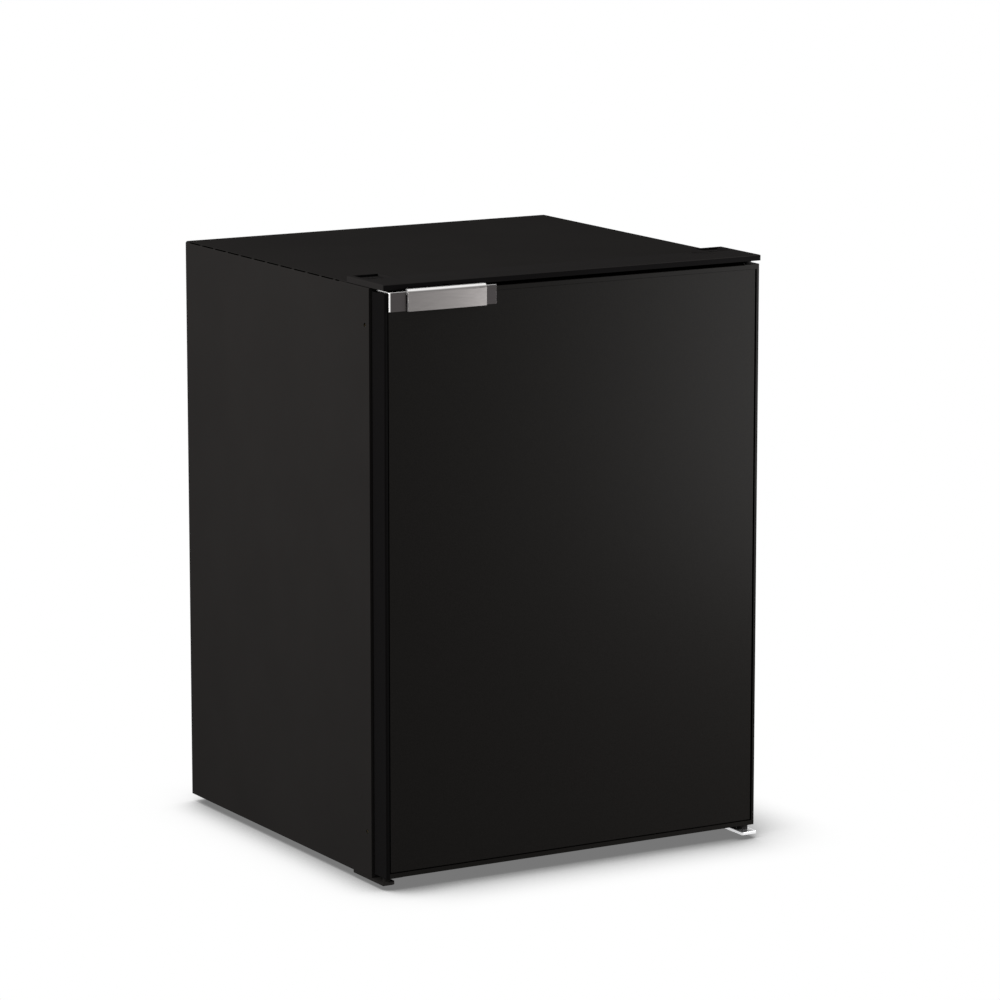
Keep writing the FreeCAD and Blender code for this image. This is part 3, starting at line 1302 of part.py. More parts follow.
def thermostat_knob():
    """Knob with a grip bar across its face and a shaft in the housing."""
    y = THERMO_FRONT - CLEAR
    disc = rod(KNOB_RADIUS, (KNOB_X, y, KNOB_Z), (KNOB_X, y - KNOB_DEPTH / 2, KNOB_Z))
    bar_x = (KNOB_X - KNOB_BAR_LENGTH / 2, KNOB_X + KNOB_BAR_LENGTH / 2)
    bar_z = (KNOB_Z - KNOB_BAR / 2, KNOB_Z + KNOB_BAR / 2)
    bar = block(bar_x, (y - KNOB_DEPTH, y - KNOB_DEPTH / 3), bar_z)
    bar = fillet(bar, KNOB_BAR / 3, lambda p, d: along_y(d))
    shaft = rod(KNOB_SHAFT, (KNOB_X, y - 1, KNOB_Z), (KNOB_X, THERMO_FRONT + KNOB_SHAFT_LENGTH, KNOB_Z))
    return fuse([disc, bar, shaft])


def lamp_lens():
    """Clear cover of the lamp below the housing."""
    x = (THERMO_LEFT + LENS_MARGIN, THERMO_RIGHT - LENS_MARGIN)
    y0 = THERMO_FRONT + THERMO_LENGTH - LENS_MARGIN - LENS_LENGTH
    lens = block(x, (y0, y0 + LENS_LENGTH), (THERMO_LOW - LENS_THICK, THERMO_LOW))
    return fillet(lens, LENS_THICK / 2, lambda p, d: near(p.z, THERMO_LOW - LENS_THICK))


def sensor_tube():
    """Thermostat's capillary, from the housing to its bulb on the evaporator's side."""
    x = EVAP_RIGHT + SEAT + BULB_RADIUS
    y = THERMO_FRONT + THERMO_LENGTH / 2
    z = KNOB_Z
    bulb = rod(BULB_RADIUS, (x, y, z), (x, y + BULB_LENGTH, z))
    lead = rod(SENSOR_RADIUS, (THERMO_LEFT, y + LEAD_IN, z), (x, y + LEAD_IN, z))
    return fuse([bulb, lead])


def wire_ring(x, y, z, radius, bend):
    """A rounded rectangle of wire, lying flat."""
    parts = []
    for sx in (0, 1):
        parts.append(rod(radius, (x[sx], y[0] + bend, z), (x[sx], y[1] - bend, z)))
        parts.append(rod(radius, (x[0] + bend, y[sx], z), (x[1] - bend, y[sx], z)))
        for sy in (0, 1):
            centre = V(x[sx] + bend * (1 - 2 * sx), y[sy] + bend * (1 - 2 * sy), z)
            parts.append(corner_wire(centre, radius, bend, corner_angle(sx, sy)))
    return parts


def corner_angle(sx, sy):
    """Start angle of the quarter turn at one corner of a rectangle."""
    return {(0, 0): 180, (1, 0): 270, (1, 1): 0, (0, 1): 90}[(sx, sy)]


def corner_wire(centre, radius, bend, start):
    """A quarter turn of wire."""
    section = Part.Face(Part.Wire(Part.makeCircle(radius, V(bend, 0, 0), V(0, 1, 0))))
    turn = section.revolve(V(0, 0, 0), V(0, 0, 1), 90)
    turn.rotate(V(0, 0, 0), V(0, 0, 1), start)
    turn.translate(centre)
    return turn


def wire_shelf(level):
    """Welded wire shelf: a frame, wires from front to back and a raised rail at the front."""
    z = FLOOR + level + SEAT + FRAME_WIRE_RADIUS
    x = both(SHELF_HALF - FRAME_WIRE_RADIUS)
    y = (SHELF_FRONT + FRAME_WIRE_RADIUS, SHELF_BACK - FRAME_WIRE_RADIUS)
    parts = wire_ring(x, y, z, FRAME_WIRE_RADIUS, FRAME_WIRE_BEND)
    count = int((2 * x[1] - 2 * FRAME_WIRE_BEND - 4 * WIRE_RADIUS) / WIRE_PITCH)
    for i in range(count + 1):
        wire_x = (i - count / 2) * WIRE_PITCH
        parts.append(rod(WIRE_RADIUS, (wire_x, y[0], z + WIRE_RADIUS), (wire_x, y[1], z + WIRE_RADIUS)))
    end = (count / 2 - 0.5) * WIRE_PITCH
    rail_z = z + RETAINER_RISE
    hoop = [(-end, y[0], z), (-end, y[0], rail_z), (end, y[0], rail_z), (end, y[0], z)]
    parts.append(pipe(hoop, WIRE_RADIUS, FRAME_WIRE_BEND / 2))
    return fuse(parts)


def crisper_cover():
    """Glass shelf over the crisper, on the lowest ledges."""
    x = both(CAVITY_HALF - COVER_GAP)
    sheet = block(x, (COVER_FRONT, STEP_FRONT - COVER_GAP), (COVER_LOW, COVER_LOW + COVER_THICK))
    return fillet(sheet, COVER_THICK / 4, lambda p, d: along_x(d) and near(p.y, COVER_FRONT))


def crisper():
    """Clear drawer on the floor, drawn in towards its bottom, with a turned-out lip to pull it by."""
    wall = CRISPER_WALL
    x = both(CRISPER_HALF)
    y = (CRISPER_FRONT, CRISPER_BACK)
    z = (FLOOR + CRISPER_LOWER, FLOOR + CRISPER_LOWER + CRISPER_HEIGHT)
    upright = lambda p, d: abs(d.z) > 0.9
    outer = fillet(tapered(x, y, z, CRISPER_TAPER), CRISPER_ROUND, upright)
    inner = tapered(both(x[1] - wall), (y[0] + wall, y[1] - wall), (z[0] + wall, z[1] + wall), CRISPER_TAPER)
    inner = fillet(inner, CRISPER_ROUND - wall, upright)
    lip_x = both(CRISPER_HALF / 2)
    edge = y[0] - CRISPER_LIP
    lip = block(lip_x, (edge, y[0] + wall / 2), (z[1] - wall, z[1]))
    drop = block(lip_x, (edge, edge + wall), (z[1] - CRISPER_LIP, z[1]))
    return fuse([outer.cut(inner), lip, drop])


def ice_tray():
    """Ice tray on the evaporator's floor, as many cells long as there is room for."""
    x0 = EVAP_LEFT + EVAP_ROUND + HANGER_INSET
    y0 = EVAP_FRONT + HANGER_INSET / 2
    z0 = EVAP_LOW + EVAP_WALL
    columns = int((EVAP_BACK - HANGER_INSET / 2 - y0 - ICE_RIB) / ICE_CELL)
    width = ICE_ROWS * ICE_CELL + ICE_RIB
    length = columns * ICE_CELL + ICE_RIB
    tray = tapered((x0, x0 + width), (y0, y0 + length), (z0, z0 + ICE_HEIGHT), ICE_TAPER - ICE_RIB / 2)
    hollow = ICE_CELL - ICE_RIB
    hollow_z = (z0 + ICE_WALL, z0 + ICE_HEIGHT)
    cells = []
    for row in range(ICE_ROWS):
        for column in range(columns):
            x = x0 + ICE_RIB + row * ICE_CELL
            y = y0 + ICE_RIB + column * ICE_CELL
            cells.append(tapered((x, x + hollow), (y, y + hollow), hollow_z, ICE_TAPER))
    return cut(tray, cells)


# Cooling unit

def compressor():
    """Hermetic compressor: domed can with a weld seam, foot plate and three stubs."""
    low = COMP_LOW + COMP_FOOT
    top = COMP_TOP
    seam = low + COMP_HEIGHT / 2
    r = COMP_RADIUS
    dome = COMP_DOME
    edges = [
        Part.LineSegment(V(0, 0, low), V(r - dome, 0, low)).toShape(),
        quarter(V(r - dome, 0, low), V(r, 0, low + dome), V(r - dome, 0, low + dome)),
    ]
    corners = [V(r, 0, low + dome), V(r, 0, seam - COMP_SEAM), V(r + COMP_SEAM, 0, seam - COMP_SEAM)]
    corners += [V(r + COMP_SEAM, 0, seam), V(r, 0, seam), V(r, 0, top - dome)]
    edges += [Part.LineSegment(a, b).toShape() for a, b in zip(corners, corners[1:])]
    edges.append(quarter(V(r, 0, top - dome), V(r - dome, 0, top), V(r - dome, 0, top - dome)))
    edges.append(Part.LineSegment(V(r - dome, 0, top), V(0, 0, top)).toShape())
    edges.append(Part.LineSegment(V(0, 0, top), V(0, 0, low)).toShape())
    can = Part.Face(Part.Wire(edges)).revolve(V(0, 0, 0), V(0, 0, 1), 360)
    can.translate(V(COMP_X, COMP_Y, 0))
    plate_x = (COMP_X - COMP_FOOT_LENGTH / 2, COMP_X + COMP_FOOT_LENGTH / 2)
    plate_y = (COMP_Y - COMP_FOOT_WIDTH / 2, COMP_Y + COMP_FOOT_WIDTH / 2)
    plate = block(plate_x, plate_y, (COMP_LOW, COMP_LOW + COMP_FOOT))
    plate = fillet(plate, GROMMET_RADIUS, lambda p, d: along_z(d))
    dome_stub = suction_points()[-1]
    suction = rod(STUB_RADIUS, (dome_stub[0], dome_stub[1], top - dome), dome_stub)
    end = discharge_points()[0]
    discharge = rod(STUB_RADIUS, (COMP_X, end[1], end[2]), end)
    return fuse([can, plate, suction, discharge])


def quarter(start, end, centre):
    """A quarter circle between two points."""
    towards = ((start + end) * 0.5 - centre).normalize()
    return Part.Arc(start, centre + towards * (start - centre).Length, end).toShape()


def compressor_grommets():
    """Four rubber mounts below the compressor's foot plate."""
    mounts = []
    for side in both(COMP_FOOT_LENGTH / 2 - GROMMET_RADIUS):
        for end in both(COMP_FOOT_WIDTH / 2 - GROMMET_RADIUS):
            place = (COMP_X + side, COMP_Y + end)
            mounts.append(rod(GROMMET_RADIUS, (*place, PAN_TOP), (*place, COMP_LOW)))
    return Part.Compound(mounts)


def electronic_unit():
    """Compressor's control box on the pan, finned on top, with its terminal strip at the back."""
    x = (UNIT_LEFT, UNIT_RIGHT)
    y = (UNIT_BACK - UNIT_LENGTH, UNIT_BACK)
    top = PAN_TOP + UNIT_HEIGHT
    case = block(x, y, (PAN_TOP, top))
    grooves = []
    count = int(UNIT_WIDTH / (2 * UNIT_FIN))
    for i in range(count):
        gx = x[0] + UNIT_FIN + i * 2 * UNIT_FIN
        grooves.append(block((gx, gx + UNIT_FIN), (y[0] - 1, y[1] + 1), (top - UNIT_FIN_DEPTH, top + 1)))
    strip = block((x[0] + UNIT_FIN, x[1] - UNIT_FIN), (y[1], y[1] + TERMINAL_DEPTH),
                  (PAN_TOP + UNIT_HEIGHT / 3, PAN_TOP + UNIT_HEIGHT / 2))
    return cut(fuse([case, strip]), grooves)


def coil_points():
    """Serpentine of the condenser's tube, from the top pass down."""
    right = SHROUD_RIGHT + COIL_OUT
    points = [(COIL_START, COIL_Y, COIL_TOP)]
    for i in range(COIL_PASSES):
        z = COIL_TOP - i * COIL_PITCH
        near_x = right if i % 2 == 0 else COIL_START
        points.append((near_x, COIL_Y, z))
        if i < COIL_PASSES - 1:
            points.append((near_x, COIL_Y, z - COIL_PITCH))
    return points


def coil_rooms(gap):
    """Straight bores for the coil's passes."""
    rods = []
    for i in range(COIL_PASSES):
        z = COIL_TOP - i * COIL_PITCH
        rods.append(rod(COIL_RADIUS + gap, (SHROUD_LEFT - 1, COIL_Y, z), (SHROUD_RIGHT + 1, COIL_Y, z)))
    return rods


def condenser_coil():
    """Condenser's tube, bent to and fro through the fins."""
    return pipe(coil_points(), COIL_RADIUS, COIL_BEND)


def condenser_fins():
    """Stack of thin fins on the coil."""
    y = (SHROUD_FRONT, SHROUD_FRONT + SHROUD_LENGTH - FIN_MARGIN)
    z = (PAN_TOP + FIN_MARGIN, SHROUD_TOP - FIN_MARGIN)
    first = SHROUD_LEFT + SHROUD_WALL + FIN_MARGIN
    pitch = (SHROUD_WIDTH - 2 * SHROUD_WALL - 2 * FIN_MARGIN - FIN_THICK) / (FIN_COUNT - 1)
    rooms = coil_rooms(SEAT)
    fins = []
    for i in range(FIN_COUNT):
        x = first + i * pitch
        fins.append(block((x, x + FIN_THICK), y, z).cut(rooms))
    return Part.Compound(fins)


def condenser_shroud():
    """Sheet duct from the fins to the fan."""
    x = (SHROUD_LEFT, SHROUD_RIGHT)
    duct = block(x, (SHROUD_FRONT, FAN_FRONT), (PAN_TOP, SHROUD_TOP))
    inside = block((x[0] + SHROUD_WALL, x[1] - SHROUD_WALL), (SHROUD_FRONT - 1, FAN_FRONT - SHROUD_WALL),
                   (PAN_TOP + SHROUD_WALL, SHROUD_TOP - SHROUD_WALL))
    hole = rod(FAN_BORE, (FAN_X, FAN_FRONT - 2 * SHROUD_WALL, FAN_Z), (FAN_X, FAN_FRONT + 1, FAN_Z))
    return cut(duct, [inside, hole] + coil_rooms(SEAT))


def fan_frame():
    """Square fan frame with four struts that hold the motor's cup."""
    half = FAN_SIZE / 2
    frame = block((FAN_X - half, FAN_X + half), (FAN_FRONT, FAN_BACK), (FAN_Z - half, FAN_Z + half))
    frame = fillet(frame, FAN_CORNER, lambda p, d: along_y(d))
    frame = frame.cut(rod(FAN_BORE, (FAN_X, FAN_FRONT - 1, FAN_Z), (FAN_X, FAN_BACK + 1, FAN_Z)))
    reach = FAN_BORE + 1
    struts = []
    for angle in (45, 135, 225, 315):
        strut = block((0, reach), (FAN_BACK - STRUT_THICK, FAN_BACK), both(STRUT_WIDTH / 2))
        strut.rotate(V(0, 0, 0), V(0, 1, 0), angle)
        struts.append(strut.translated(V(FAN_X, 0, FAN_Z)))
    rear = fan_hub_back()
    cup = rod(FAN_HUB - 1, (FAN_X, rear + CLEAR, FAN_Z), (FAN_X, FAN_BACK, FAN_Z))
    bore_end = rear + 2 * CLEAR + FAN_SHAFT_LENGTH
    bore = rod(FAN_SHAFT + FIT, (FAN_X, rear, FAN_Z), (FAN_X, bore_end, FAN_Z))
    return cut(fuse([frame, cup] + struts), [bore])


def fan_hub_back():
    """Depth of the rotor hub's rear face."""
    return FAN_FRONT + FAN_HUB_SUNK + FAN_HUB_LENGTH


def fan_blade(angle):
    """One twisted blade, wider and flatter towards its tip."""
    wires = []
    root = (FAN_HUB - BLADE_THICK, BLADE_ROOT, BLADE_ROOT_PITCH)
    tip = (FAN_TIP, BLADE_TIP, BLADE_TIP_PITCH)
    for radius, chord, pitch in (root, tip):
        lean = math.radians(pitch)
        span = V(math.cos(lean), math.sin(lean), 0) * (chord / 2)
        thick = V(-math.sin(lean), math.cos(lean), 0) * (BLADE_THICK / 2)
        centre = V(0, fan_hub_back() - FAN_HUB_LENGTH / 2, radius)
        points = [centre + span + thick, centre - span + thick, centre - span - thick, centre + span - thick]
        wires.append(Part.makePolygon(points + points[:1]))
    blade = Part.makeLoft(wires, True, True)
    blade.rotate(V(0, 0, 0), V(0, 1, 0), angle)
    return blade.translated(V(FAN_X, 0, FAN_Z))


def fan_rotor():
    """Fan wheel: hub, blades and shaft."""
    rear = fan_hub_back()
    hub = rod(FAN_HUB, (FAN_X, rear - FAN_HUB_LENGTH, FAN_Z), (FAN_X, rear, FAN_Z))
    shaft = rod(FAN_SHAFT, (FAN_X, rear - 1, FAN_Z), (FAN_X, rear + CLEAR + FAN_SHAFT_LENGTH, FAN_Z))
    blades = [fan_blade(360.0 * i / FAN_BLADES) for i in range(FAN_BLADES)]
    return fuse([hub, shaft] + blades)


def filter_drier():
    """Copper capsule between the condenser and the capillary line."""
    low = BASE + DRIER_LOW
    high = low + DRIER_LENGTH
    neck = LINE_RADIUS + DRIER_FIT
    place = (CAPILLARY_X, DRIER_Y)
    can = rod(DRIER_RADIUS, (*place, low + DRIER_NECK), (*place, high - DRIER_NECK))
    lower = Part.makeCone(neck, DRIER_RADIUS, DRIER_NECK, V(*place, low))
    upper = Part.makeCone(DRIER_RADIUS, neck, DRIER_NECK, V(*place, high - DRIER_NECK))
    return fuse([can, lower, upper])


def discharge_points():
    """From the compressor's side stub over a loop to the coil's top pass."""
    start_x = COMP_X + COMP_RADIUS + STUB_LENGTH
    loop = (start_x + 2 * LINE_BEND, COIL_START - 2 * LINE_BEND)
    return [
        (start_x, COIL_Y, COIL_TOP),
        (loop[0], COIL_Y, COIL_TOP),
        (loop[0], COIL_Y, COIL_TOP + LOOP_RISE),
        (loop[1], COIL_Y, COIL_TOP + LOOP_RISE),
        (loop[1], COIL_Y, COIL_TOP),
        (COIL_START, COIL_Y, COIL_TOP),
    ]


def discharge_line():
    """Hot-gas tube with a loop that takes up vibration."""
    return pipe(discharge_points(), LINE_RADIUS, LINE_BEND)


def liquid_line():
    """Tube from the coil's bottom pass to the drier."""
    z = COIL_TOP - (COIL_PASSES - 1) * COIL_PITCH
    low = BASE + DRIER_LOW
    turn_x = COIL_START - LINE_BEND
    points = [(COIL_START, COIL_Y, z), (turn_x, COIL_Y, z), (turn_x, DRIER_Y, z)]
    points += [(CAPILLARY_X, DRIER_Y, z), (CAPILLARY_X, DRIER_Y, low)]
    return pipe(points, LINE_RADIUS, LIQUID_BEND)


def capillary_line():
    """Thin tube from the drier up through the rear wall to the evaporator."""
    return pipe(capillary_points(), CAPILLARY_RADIUS, LINE_BEND)


def suction_line():
    """Wide tube from the evaporator down through the rear wall to the compressor."""
    return pipe(suction_points(), SUCTION_RADIUS, LINE_BEND)


PIECES = {
    "casing": casing,
    "back_panel": back_panel,
    "base_pan": base_pan,
    "niche_shell": niche_shell,
    "insulation": insulation,
    "liner": liner,
    "rear_grille": rear_grille,
    "cable_grommet": cable_grommet,
    "feet": feet,
    "top_trim": top_trim,
    "strike_plate": strike_plate,
    "upper_hinge_plate": upper_hinge_plate,
    "lower_hinge_plate": lower_hinge_plate,
    "hinge_pins": hinge_pins,
    "lower_left_bracket": lower_left_bracket,
    "screws": screws,
    "door_stile_left": lambda: door_stile(-1),
    "door_stile_right": lambda: door_stile(1),
    "door_rail_top": door_rail_top,
    "door_rail_bottom": door_rail_bottom,
    "door_panel": door_panel,
    "door_foam": door_foam,
    "door_liner": door_liner,
    "gasket": gasket,
    "upper_bin": lambda: door_bin(UPPER_BIN_LOW, UPPER_BIN_HEIGHT),
    "lower_bin": lambda: door_bin(LOWER_BIN_LOW, LOWER_BIN_HEIGHT),
    "hinge_bushes": hinge_bushes,
    "handle_base": handle_base,
    "lever_pin": lever_pin,
    "handle_lever": handle_lever,
    "latch_bolt": latch_bolt,
    "latch_spring": latch_spring,
    "evaporator": evaporator,
    "evaporator_hangers": evaporator_hangers,
    "drip_tray": drip_tray,
    "freezer_frame": freezer_frame,
    "freezer_flap": freezer_flap,
    "thermostat_housing": thermostat_housing,
    "thermostat_knob": thermostat_knob,
    "lamp_lens": lamp_lens,
    "sensor_tube": sensor_tube,
    "shelf_lower": lambda: wire_shelf(LOWER_SHELF),
    "shelf_upper": lambda: wire_shelf(UPPER_SHELF),
    "crisper_cover": crisper_cover,
    "crisper": crisper,
    "ice_tray": ice_tray,
    "compressor": compressor,
    "compressor_grommets": compressor_grommets,
    "electronic_unit": electronic_unit,
    "condenser_coil": condenser_coil,
    "condenser_fins": condenser_fins,
    "condenser_shroud": condenser_shroud,
    "fan_frame": fan_frame,
    "fan_rotor": fan_rotor,
    "filter_drier": filter_drier,
    "discharge_line": discharge_line,
    "liquid_line": liquid_line,
    "capillary_line": capillary_line,
    "suction_line": suction_line,
}

os.makedirs("parts", exist_ok=True)
for name, make in PIECES.items():
    make().exportStep("parts/" + name + ".step")
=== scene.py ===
"""Looks of the marine refrigerator: finishes, fine pieces, floor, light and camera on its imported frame."""

import json
import math

import bmesh
import bpy
from mathutils import Matrix, Vector


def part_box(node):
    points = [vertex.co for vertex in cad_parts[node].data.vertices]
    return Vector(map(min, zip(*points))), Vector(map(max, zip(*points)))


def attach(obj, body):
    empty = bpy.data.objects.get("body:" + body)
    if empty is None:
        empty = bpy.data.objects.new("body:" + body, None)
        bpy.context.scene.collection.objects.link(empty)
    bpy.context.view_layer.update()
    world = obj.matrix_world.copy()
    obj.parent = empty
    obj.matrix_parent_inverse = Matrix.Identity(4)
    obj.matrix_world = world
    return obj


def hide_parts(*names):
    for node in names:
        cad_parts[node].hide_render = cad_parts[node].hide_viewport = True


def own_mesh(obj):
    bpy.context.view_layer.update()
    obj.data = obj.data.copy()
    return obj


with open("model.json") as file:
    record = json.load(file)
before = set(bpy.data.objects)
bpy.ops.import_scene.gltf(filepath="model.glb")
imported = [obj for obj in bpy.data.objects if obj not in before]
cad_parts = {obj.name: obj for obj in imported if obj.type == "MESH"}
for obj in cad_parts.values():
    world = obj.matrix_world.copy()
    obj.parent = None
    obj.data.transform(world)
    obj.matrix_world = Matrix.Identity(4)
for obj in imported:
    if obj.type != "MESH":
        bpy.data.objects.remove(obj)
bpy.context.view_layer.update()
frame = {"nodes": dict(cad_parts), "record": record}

# The frame as loaded
NODES = frame["nodes"]

# Camera, fitted to the photograph's corners of the casing and the door
CAMERA_PLACE = (-2.4813, -4.3240, 1.2879)
CAMERA_YAW = math.radians(30.201)
CAMERA_PITCH = math.radians(10.645)
CAMERA_LENS = 170.86
CAMERA_SENSOR = 36.0
CAMERA_REACH = 50.0

# Studio: floor, ambient light and softboxes (place, target, width, height, radiance)
FLOOR_HALF = 6.0
FLOOR_BOUNCE = 0.20
AMBIENT = 0.50
SOFTBOXES = {
    "left_box": ((-1.25, 0.0, 0.85), (-0.2, 0.05, 0.45), 0.45, 0.6, 12.0),
    "right_box": ((0.72, -0.80, 0.46), (0.1, -0.2, 0.38), 0.4, 0.7, 11.5),
}

# Soft shadows on the floor, close all round and to the right: lean, reach, darkest openness, level there
SHADOWS = [
    ((-0.04, 0.29, 0.90), 0.060, 0.285, 0.18),
    ((-0.39, 0.15, 0.90), 0.105, 0.220, 0.275),
]
SHADOW_SAMPLES = 16

# Samples of the rounded look of edges
EDGE_SAMPLES = 6

# Front lip of the door's left stile, whose front carries painted shade
STILE_LIP = 0.0037

# Meshes: points this close are one, and a corner is cut at this share of its edges
SAME_PLACE = 1e-6
CORNER_CUT = 0.25

# Door seal: half widths and heights over the door's back, in millimetres, from the dart's tip to the crown
MILLIMETRE = 0.001
SEAL_DART = 0.004
SEAL_HALF = 0.007
SEAL_OUTLINE = [
    (1.0, -4.0), (1.6, -2.6), (1.1, -2.4), (1.1, 0.0), (7.0, 0.0), (7.0, 0.9), (5.8, 1.4),
    (5.0, 0.9), (4.3, 1.7), (4.9, 2.7), (3.9, 3.6), (0.0, 3.4),
]

# Pan-head screws with a cross recess
HEAD_RADIUS = 0.004
HEAD_HEIGHT = 0.0016
HEAD_DOME = 0.0005
HEAD_STEPS = (0.62, 0.75, 0.88, 0.97)
HEAD_SHOULDER = 1.3 * HEAD_DOME
CROSS_REACH = 0.0022
CROSS_HALF = CROSS_REACH * math.tan(math.radians(15))
CROSS_FLOOR = 0.55
CROSS_DEPTH = 0.0011
SHANK_RADIUS = 0.0019
SHANK_CORE = 0.0015
SHANK_LENGTH = 0.0138
SHANK_TIP = 0.3 * SHANK_CORE
THREAD_PITCH = 0.0013
THREAD_ROOT = 0.3 * THREAD_PITCH
THREAD_CREST = 0.6 * THREAD_PITCH
SCREW_SIDES = 48

# A point of a screw that lies further from its axis belongs to the head
HEAD_LEAST = math.sqrt(SHANK_RADIUS * HEAD_RADIUS)

# Leaf spring of the latch
SPRING_LEAF = 0.0005
SPRING_BEND = 0.0015
SPRING_CURL = 0.001

# Thermostat dial: steps over the knob's turn, from nine o'clock onwards
DIAL_STEPS = 6
DIAL_TURN = math.radians(270)
DIAL_NUMBERS = 0.0182
DIAL_TEXT = 0.0028
DIAL_TICKS = (0.0155, 0.0166)
DIAL_TICK_HALF = 0.00025
DIAL_RAISE = 0.00015
POINTER = (0.0045, 0.0115)
POINTER_HALF = 0.0006


class Look:
    """A node material whose patterns lie in the object's own space, in metres."""

    def __init__(self, name, roughness, metallic=0.0, specular=0.5):
        self.material = bpy.data.materials.new(name)
        self.material.use_nodes = True
        self.tree = self.material.node_tree
        self.shader = self.tree.nodes["Principled BSDF"]
        self.set("Roughness", roughness)
        self.set("Metallic", metallic)
        self.set("Specular IOR Level", specular)
        self.coordinates = self.tree.nodes.new("ShaderNodeTexCoord").outputs
        self.place = self.coordinates["Object"]
        self.tone = None
        self.normal = None

    def set(self, socket, value):
        """Sets one of the shader's own sockets."""
        self.shader.inputs[socket].default_value = value

    def add(self, kind, **values):
        """Adds a node and sets the inputs whose names are given."""
        node = self.tree.nodes.new("ShaderNode" + kind)
        for name, value in values.items():
            node.inputs[name].default_value = value
        return node

    def link(self, output, socket):
        """Joins an output to an input."""
        self.tree.links.new(output, socket)

    def noise(self, size, detail=2.0, stretch=(1.0, 1.0, 1.0)):
        """A soft random pattern of one grain size, drawn out along the axes."""
        mapping = self.add("Mapping", Scale=[1.0 / (size * s) for s in stretch])
        pattern = self.add("TexNoise", Scale=1.0, Detail=detail)
        self.link(self.place, mapping.inputs["Vector"])
        self.link(mapping.outputs["Vector"], pattern.inputs["Vector"])
        return pattern.outputs["Fac"]

    def cells(self, size):
        """A pattern of rounded grains of one size."""
        pattern = self.add("TexVoronoi", Scale=1.0 / size)
        self.link(self.place, pattern.inputs["Vector"])
        return pattern.outputs["Distance"]

    def flakes(self, size):
        """A pattern of flat crystals of one size, each of its own random level."""
        pattern = self.add("TexVoronoi", Scale=1.0 / size)
        self.link(self.place, pattern.inputs["Vector"])
        level = self.add("SeparateColor")
        self.link(pattern.outputs["Color"], level.inputs["Color"])
        return level.outputs["Red"]

    def colour(self, factor, dark, light, low=0.35, high=0.65):
        """The base colour runs between two tones with a pattern."""
        ramp = self.add("ValToRGB")
        stops = ramp.color_ramp.elements
        stops[0].position = low
        stops[0].color = (*dark, 1.0)
        stops[1].position = high
        stops[1].color = (*light, 1.0)
        self.link(factor, ramp.inputs["Fac"])
        self.tone = ramp.outputs["Color"]
        self.link(self.tone, self.shader.inputs["Base Color"])

    def parts(self, vector):
        """The three parts of a vector."""
        node = self.add("SeparateXYZ")
        self.link(vector, node.inputs["Vector"])
        return node.outputs

    def span(self, value, start, end, low=0.0, high=1.0):
        """A value that runs from low to high between a start and an end, and is held outside them."""
        node = self.add("MapRange")
        for name, number in (("From Min", start), ("From Max", end), ("To Min", low), ("To Max", high)):
            node.inputs[name].default_value = number
        self.link(value, node.inputs["Value"])
        return node.outputs["Result"]

    def least(self, first, second):
        """The smaller of two values."""
        node = self.add("Math")
        node.operation = "MINIMUM"
        self.link(first, node.inputs[0])
        self.link(second, node.inputs[1])
        return node.outputs[0]

    def sides(self, tone, turned=0.90, square=0.97):
        """Another tone on what is turned away from the object's front and back."""
        facing = self.add("Math")
        facing.operation = "ABSOLUTE"
        self.link(self.parts(self.coordinates["Normal"])["Y"], facing.inputs[0])
        self.mix_tone(self.span(facing.outputs[0], turned, square, low=1.0, high=0.0), tone)

    def inside(self, low, high, tone, start=0.0004, full=0.0008):
        """Another tone where the surface lies deeper than the faces of a box."""
        place = self.parts(self.place)
        depth = None
        for axis in range(3):
            for order, edge in ((0, high[axis]), (1, low[axis])):
                way = self.add("Math")
                way.operation = "SUBTRACT"
                way.inputs[order].default_value = edge
                self.link(place[axis], way.inputs[1 - order])
                depth = self.least(depth, way.outputs[0]) if depth else way.outputs[0]
        self.mix_tone(self.span(depth, start, full), tone)

    def rim(self, axis, limit, tone, fade=0.0002, turned=0.90, square=0.97):
        """Another tone in front, where the place along one axis is under a limit."""
        under = self.span(self.parts(self.place)[axis], limit + fade, limit)
        front = self.span(self.parts(self.coordinates["Normal"])["Y"], -turned, -square)
        self.mix_tone(self.least(under, front), tone)

    def mix_tone(self, share, tone):
        """Mixes a tone over the base colour by a share."""
        mix = self.add("MixRGB", Color2=(*tone, 1.0))
        self.link(share, mix.inputs["Fac"])
        self.link(self.tone, mix.inputs["Color1"])
        self.tone = mix.outputs["Color"]
        self.link(self.tone, self.shader.inputs["Base Color"])

    def gloss(self, factor, smooth, rough, start=0.3, end=0.7):
        """The roughness runs between two values with a pattern."""
        self.link(self.span(factor, start, end, smooth, rough), self.shader.inputs["Roughness"])

    def soften(self, radius):
        """Edges catch the light as if rounded by a radius."""
        bevel = self.add("Bevel", Radius=radius)
        bevel.samples = EDGE_SAMPLES
        self.join_normal(bevel.outputs["Normal"])

    def bump(self, factor, height, strength=1.0):
        """A pattern stands up from the surface by a height."""
        relief = self.add("Bump", Strength=strength, Distance=height)
        self.link(factor, relief.inputs["Height"])
        if self.normal:
            self.link(self.normal, relief.inputs["Normal"])
        self.join_normal(relief.outputs["Normal"])

    def join_normal(self, output):
        """Passes the normal built so far to the shader."""
        self.normal = output
        self.link(output, self.shader.inputs["Normal"])


def shade(tone, share):
    """A tone made lighter or darker by a share."""
    return tuple(value * share for value in tone)


def satin_black(name, tone, roughness, grain, depth, sheen, edge=0.0006):
    """Black coating or moulding: fine grain, slow cloudiness and a faint clear sheen."""
    look = Look(name, roughness, specular=0.0)
    look.set("Coat Weight", sheen)
    look.set("Coat Roughness", roughness)
    clouds = look.noise(0.09, detail=3.0)
    look.colour(clouds, shade(tone, 0.97), shade(tone, 1.03))
    look.soften(edge)
    look.bump(look.noise(grain, detail=3.0), depth)
    return look


